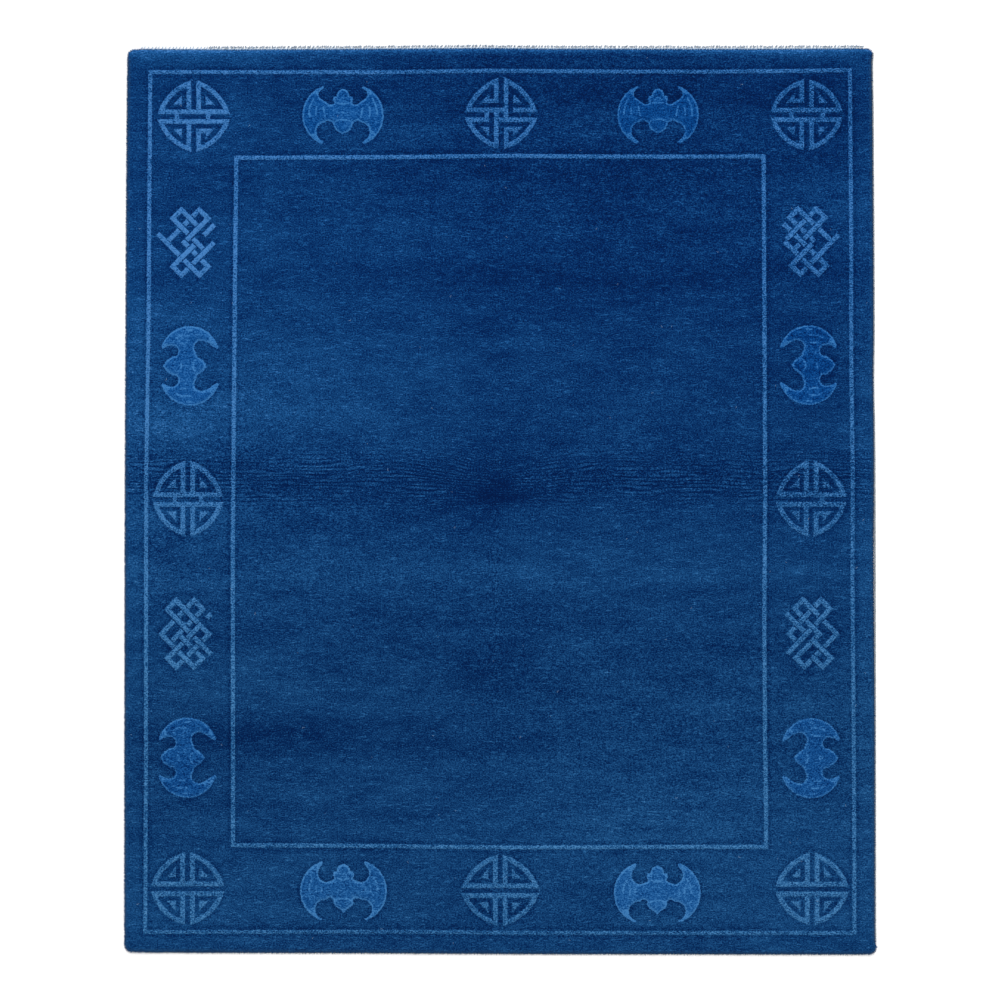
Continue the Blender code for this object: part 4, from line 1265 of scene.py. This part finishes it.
TOP_LOW, TOP_HIGH = -1.172, 1.176
top_run = end_run(TOP_LOW, TOP_HIGH, 1, WEB_GAP + WARP_OUT, WARP_HEIGHT)
tip_run = end_run(TOP_LOW + TIP_START, TOP_HIGH, 1, WEB_GAP + TIP_OUT, TIP_HEIGHT)
warp_sizes = {"Spacing": WARP_PITCH, "Length": 0.0098, "Thickness": 0.0036, "Curl": 0.0012, "Seed": 21}
warp_sizes.update({"Least Turn": (-0.05, -0.2, -0.62), "Most Turn": (0.05, 0.2, -0.28)})
warp_sizes.update({"Scatter": (0.0012, 0.0003, 0.0), "Finish": pale_cotton})
# grey tips over the cut ends, painted shade for the gaps between them
tail_sizes = {"Spacing": TIP_PITCH, "Length": 0.0056, "Thickness": 0.0040, "Curl": 0.0012, "Seed": 22}
tail_sizes.update({"Least Turn": (-0.05, -0.2, -1.25), "Most Turn": (0.05, 0.2, 0.35)})
tail_sizes.update({"Scatter": (0.0030, 0.0010, 0.0003), "Finish": shaded_tip_cotton})
top_meshes = weft_picks(TOP_LOW, TOP_HIGH, 1, TOP_PICKS, WEB_GAP + WEFT_YARN / 2, TOP_SEED)
top_meshes.append(grown_mesh(yarn_rows, line_mesh(top_run), warp_sizes))
top_meshes.append(grown_mesh(yarn_rows, line_mesh(tip_run), tail_sizes))
warp_faces = joined(top_meshes, [0] * TOP_PICKS + [1, 2])
warp_piece = finished_piece("warp_ends", warp_faces, [stained_cotton, pale_cotton, shaded_tip_cotton])
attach(warp_piece, "root")
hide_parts("warp_ends_top")
print("warp_ends has", len(warp_piece.data.polygons), "faces")

# %% [markdown]
# ## The web at the bottom
# The bottom end shows less cotton: three picks of weft that have greyed with use, and short threads
# that have frayed out of them.

# %% Make the bottom web
BOTTOM_LOW, BOTTOM_HIGH = -1.155, 1.185
BOTTOM_PICKS, BOTTOM_SEED = 3, 5
FRAY_OUT, FRAY_HEIGHT = 0.0022, 0.0012
bottom_run = end_run(BOTTOM_LOW, BOTTOM_HIGH, -1, WEB_GAP + FRAY_OUT, FRAY_HEIGHT)
fray_sizes = {"Spacing": 0.0075, "Length": 0.0055, "Thickness": 0.0016, "Curl": 0.0018, "Seed": 31}
fray_sizes.update({"Least Turn": (-0.05, 0.0, -1.3), "Most Turn": (0.05, 0.0, 1.3), "Finish": aged_cotton})
fray_sizes["Scatter"] = (0.003, 0.0008, 0.0)
first_out = WEB_GAP + WEFT_YARN / 2
bottom_meshes = weft_picks(BOTTOM_LOW, BOTTOM_HIGH, -1, BOTTOM_PICKS, first_out, BOTTOM_SEED)
bottom_meshes.append(grown_mesh(yarn_rows, line_mesh(bottom_run), fray_sizes))
bottom_piece = finished_piece("bottom_web", joined(bottom_meshes), [aged_cotton])
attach(bottom_piece, "root")
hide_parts("end_web_bottom")
print("bottom_web has", len(bottom_piece.data.polygons), "faces")

# %% [markdown]
# ## The bound selvage
# The outermost warps of a rug's long side are wrapped with yarn so that they can't fray. On the right
# side the binding shows from above as a narrow grey strip beside the wool. It is a cord with a row of
# short wraps that bend over it towards the floor, from the same geometry tree as the other rows.

# %% Make the selvage on the right side
SELVAGE_CORD = 0.0048
CORD_OUT, CORD_HEIGHT = 0.0026, 0.0036
WRAP_OUT, WRAP_HEIGHT = 0.0002, 0.0068
CORD_BULGE = 0.0036  # where the selvage bulges its cord lies this much further out


def side_run(out, height):
    """Points down the right side, clockwise round the rug, this far past where the wool stops."""
    side = [place for place in rim if place.x > SELVAGE_SIDE and abs(place.y) < SELVAGE_END]
    side.sort(key=lambda place: -place.y)
    outs = [out + CORD_BULGE * selvage_bulge(place.y) for place in side]
    return [Vector((place.x + past, place.y, height)) for place, past in zip(side, outs)]


cord = swept_yarn(side_run(CORD_OUT, CORD_HEIGHT), SELVAGE_CORD)
cord_mesh = bpy.data.meshes.new("cord")
cord.to_mesh(cord_mesh)
cord.free()
wrap_sizes = {"Spacing": 0.0026, "Length": 0.0062, "Thickness": 0.0028, "Curl": 0.0004, "Seed": 41}
wrap_sizes.update({"Least Turn": (-0.60, -0.1, -0.15), "Most Turn": (-0.35, 0.1, 0.15)})
wrap_sizes.update({"Scatter": (0.0002, 0.0002, 0.0002), "Finish": aged_cotton})
wraps = grown_mesh(yarn_rows, line_mesh(side_run(WRAP_OUT, WRAP_HEIGHT)), wrap_sizes)
selvage_piece = finished_piece("bound_selvage", joined([cord_mesh, wraps]), [aged_cotton])
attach(selvage_piece, "root")
print("bound_selvage has", len(selvage_piece.data.polygons), "faces")

# %% [markdown]
# ## Lint
# Wool that is walked on carries a few loose pale fibres. Each is a short bent thread, and a second
# geometry tree scatters them over the faces of the pile that look up.

# %% Scatter lint over the pile
LINT = {"Density": 20.0, "Length": 0.0060, "Thickness": 0.0006, "Seed": 51}
LINT_LIFT = 0.0006
LINT_PALE = "9DBBD8"
LINT_GREY = "6C92B8"
FACING_UP = 0.9
LINT_STEPS = 3
LEAST_LINT, MOST_LINT = 0.4, 1.3  # the fibres' lengths differ this much


def lint_tree():
    """Short bent fibres scattered over the upward faces of a mesh, each turned its own way."""
    tree = bpy.data.node_groups.new("lint_on_wool", "GeometryNodeTree")
    number = "NodeSocketFloat"
    sizes = [("Density", number), ("Length", number), ("Thickness", number), ("Seed", "NodeSocketInt")]
    add_inputs(tree, sizes + [("Finish", "NodeSocketMaterial")])
    given = add_node(tree, "NodeGroupInput").outputs
    normal = add_node(tree, "GeometryNodeInputNormal")
    upward = add_node(tree, "ShaderNodeSeparateXYZ", {0: normal}).outputs["Z"]
    looks_up = add_node(tree, "FunctionNodeCompare", {0: upward, 1: FACING_UP}, operation="GREATER_THAN")
    inputs = {"Mesh": given["Source"], "Selection": looks_up, "Density": given["Density"]}
    inputs["Seed"] = given["Seed"]
    spots = add_node(tree, "GeometryNodeDistributePointsOnFaces", inputs).outputs["Points"]
    inputs = {"Geometry": spots, "Offset": (0.0, 0.0, LINT_LIFT)}
    lifted = add_node(tree, "GeometryNodeSetPosition", inputs)
    half = halved(tree, given["Length"])
    middle = add_node(tree, "ShaderNodeCombineXYZ", {"X": half, "Y": half})
    end = add_node(tree, "ShaderNodeCombineXYZ", {"X": given["Length"]})
    inputs = {"Resolution": LINT_STEPS, "Start": (0.0, 0.0, 0.0), "Middle": middle, "End": end}
    spine = add_node(tree, "GeometryNodeCurveQuadraticBezier", inputs)
    fibre = round_thread(tree, spine, given["Thickness"])
    inputs = {"Max": (0.0, 0.0, 2 * math.pi), "Seed": given["Seed"]}
    turn = add_node(tree, "FunctionNodeRandomValue", inputs, data_type="FLOAT_VECTOR")
    inputs = {"Min": LEAST_LINT, "Max": MOST_LINT, "Seed": given["Seed"]}
    size = add_node(tree, "FunctionNodeRandomValue", inputs, data_type="FLOAT").outputs[1]
    inputs = {"Points": lifted, "Instance": fibre, "Rotation": turn, "Scale": size}
    fibres = add_node(tree, "GeometryNodeInstanceOnPoints", inputs)
    finish_tree(tree, fibres, given["Finish"])
    return tree


lint_fibre = yarn_material("loose_pale_fibre", LINT_PALE, LINT_GREY)
lint = grown_mesh(lint_tree(), wool_pile.data, {**LINT, "Finish": lint_fibre})
lint_piece = finished_piece("lint", joined([lint]), [lint_fibre])
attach(lint_piece, "root")
print("lint has", len(lint_piece.data.polygons), "faces")

# %% [markdown]
# ## Floor, light and camera
# The rug lies on a plain white studio floor and is seen from straight above. A broad soft light comes
# from the +Y side, with an even white surround that fills the shadows.

# %% Floor
FLOOR_HALF = 15.0
FLOOR_WHITE = "F2F2F2"
PAINT_ROUGHNESS, PAINT_MIRROR = 0.9, 0.1
floor_mesh = bmesh.new()
bmesh.ops.create_grid(floor_mesh, x_segments=1, y_segments=1, size=FLOOR_HALF)
floor_paint, _, floor_shader = new_material("white_studio_floor")
floor_shader.inputs["Base Color"].default_value = linear(FLOOR_WHITE)
floor_shader.inputs["Roughness"].default_value = PAINT_ROUGHNESS
floor_shader.inputs["Specular IOR Level"].default_value = PAINT_MIRROR
floor = finished_piece("floor", floor_mesh, [floor_paint])

# %% Light
SURROUND_STRENGTH = 0.75
KEY_STRENGTH = 2.4
KEY_SPREAD, KEY_TILT = 40, -40  # in degrees: how broad the light is and how it leans from upright
world = bpy.data.worlds.new("white_surround")
bpy.context.scene.world = world
world.use_nodes = True
surround = world.node_tree.nodes["Background"]
surround.inputs["Color"].default_value = (1.0, 1.0, 1.0, 1.0)
surround.inputs["Strength"].default_value = SURROUND_STRENGTH
lamp = bpy.data.lights.new("soft_key", "SUN")
lamp.energy = KEY_STRENGTH
lamp.angle = math.radians(KEY_SPREAD)
key_light = bpy.data.objects.new("soft_key", lamp)
key_light.rotation_euler = (math.radians(KEY_TILT), 0.0, 0.0)
bpy.context.scene.collection.objects.link(key_light)

# %% Camera
VIEW_WIDTH = 3.2566  # what the photograph's width covers on the rug
CAMERA_HEIGHT = 8.0
SENSOR = 36.0
CAMERA_Y = -0.0040  # the photograph's middle lies this far below the rug's
camera_data = bpy.data.cameras.new("camera")
camera_data.sensor_width = SENSOR
camera_data.lens = SENSOR * CAMERA_HEIGHT / VIEW_WIDTH
camera = bpy.data.objects.new("camera", camera_data)
camera.location = (0.0, CAMERA_Y, CAMERA_HEIGHT + PILE_HEIGHT)
bpy.context.scene.collection.objects.link(camera)
bpy.context.scene.camera = camera
bpy.context.scene.view_settings.view_transform = "Standard"
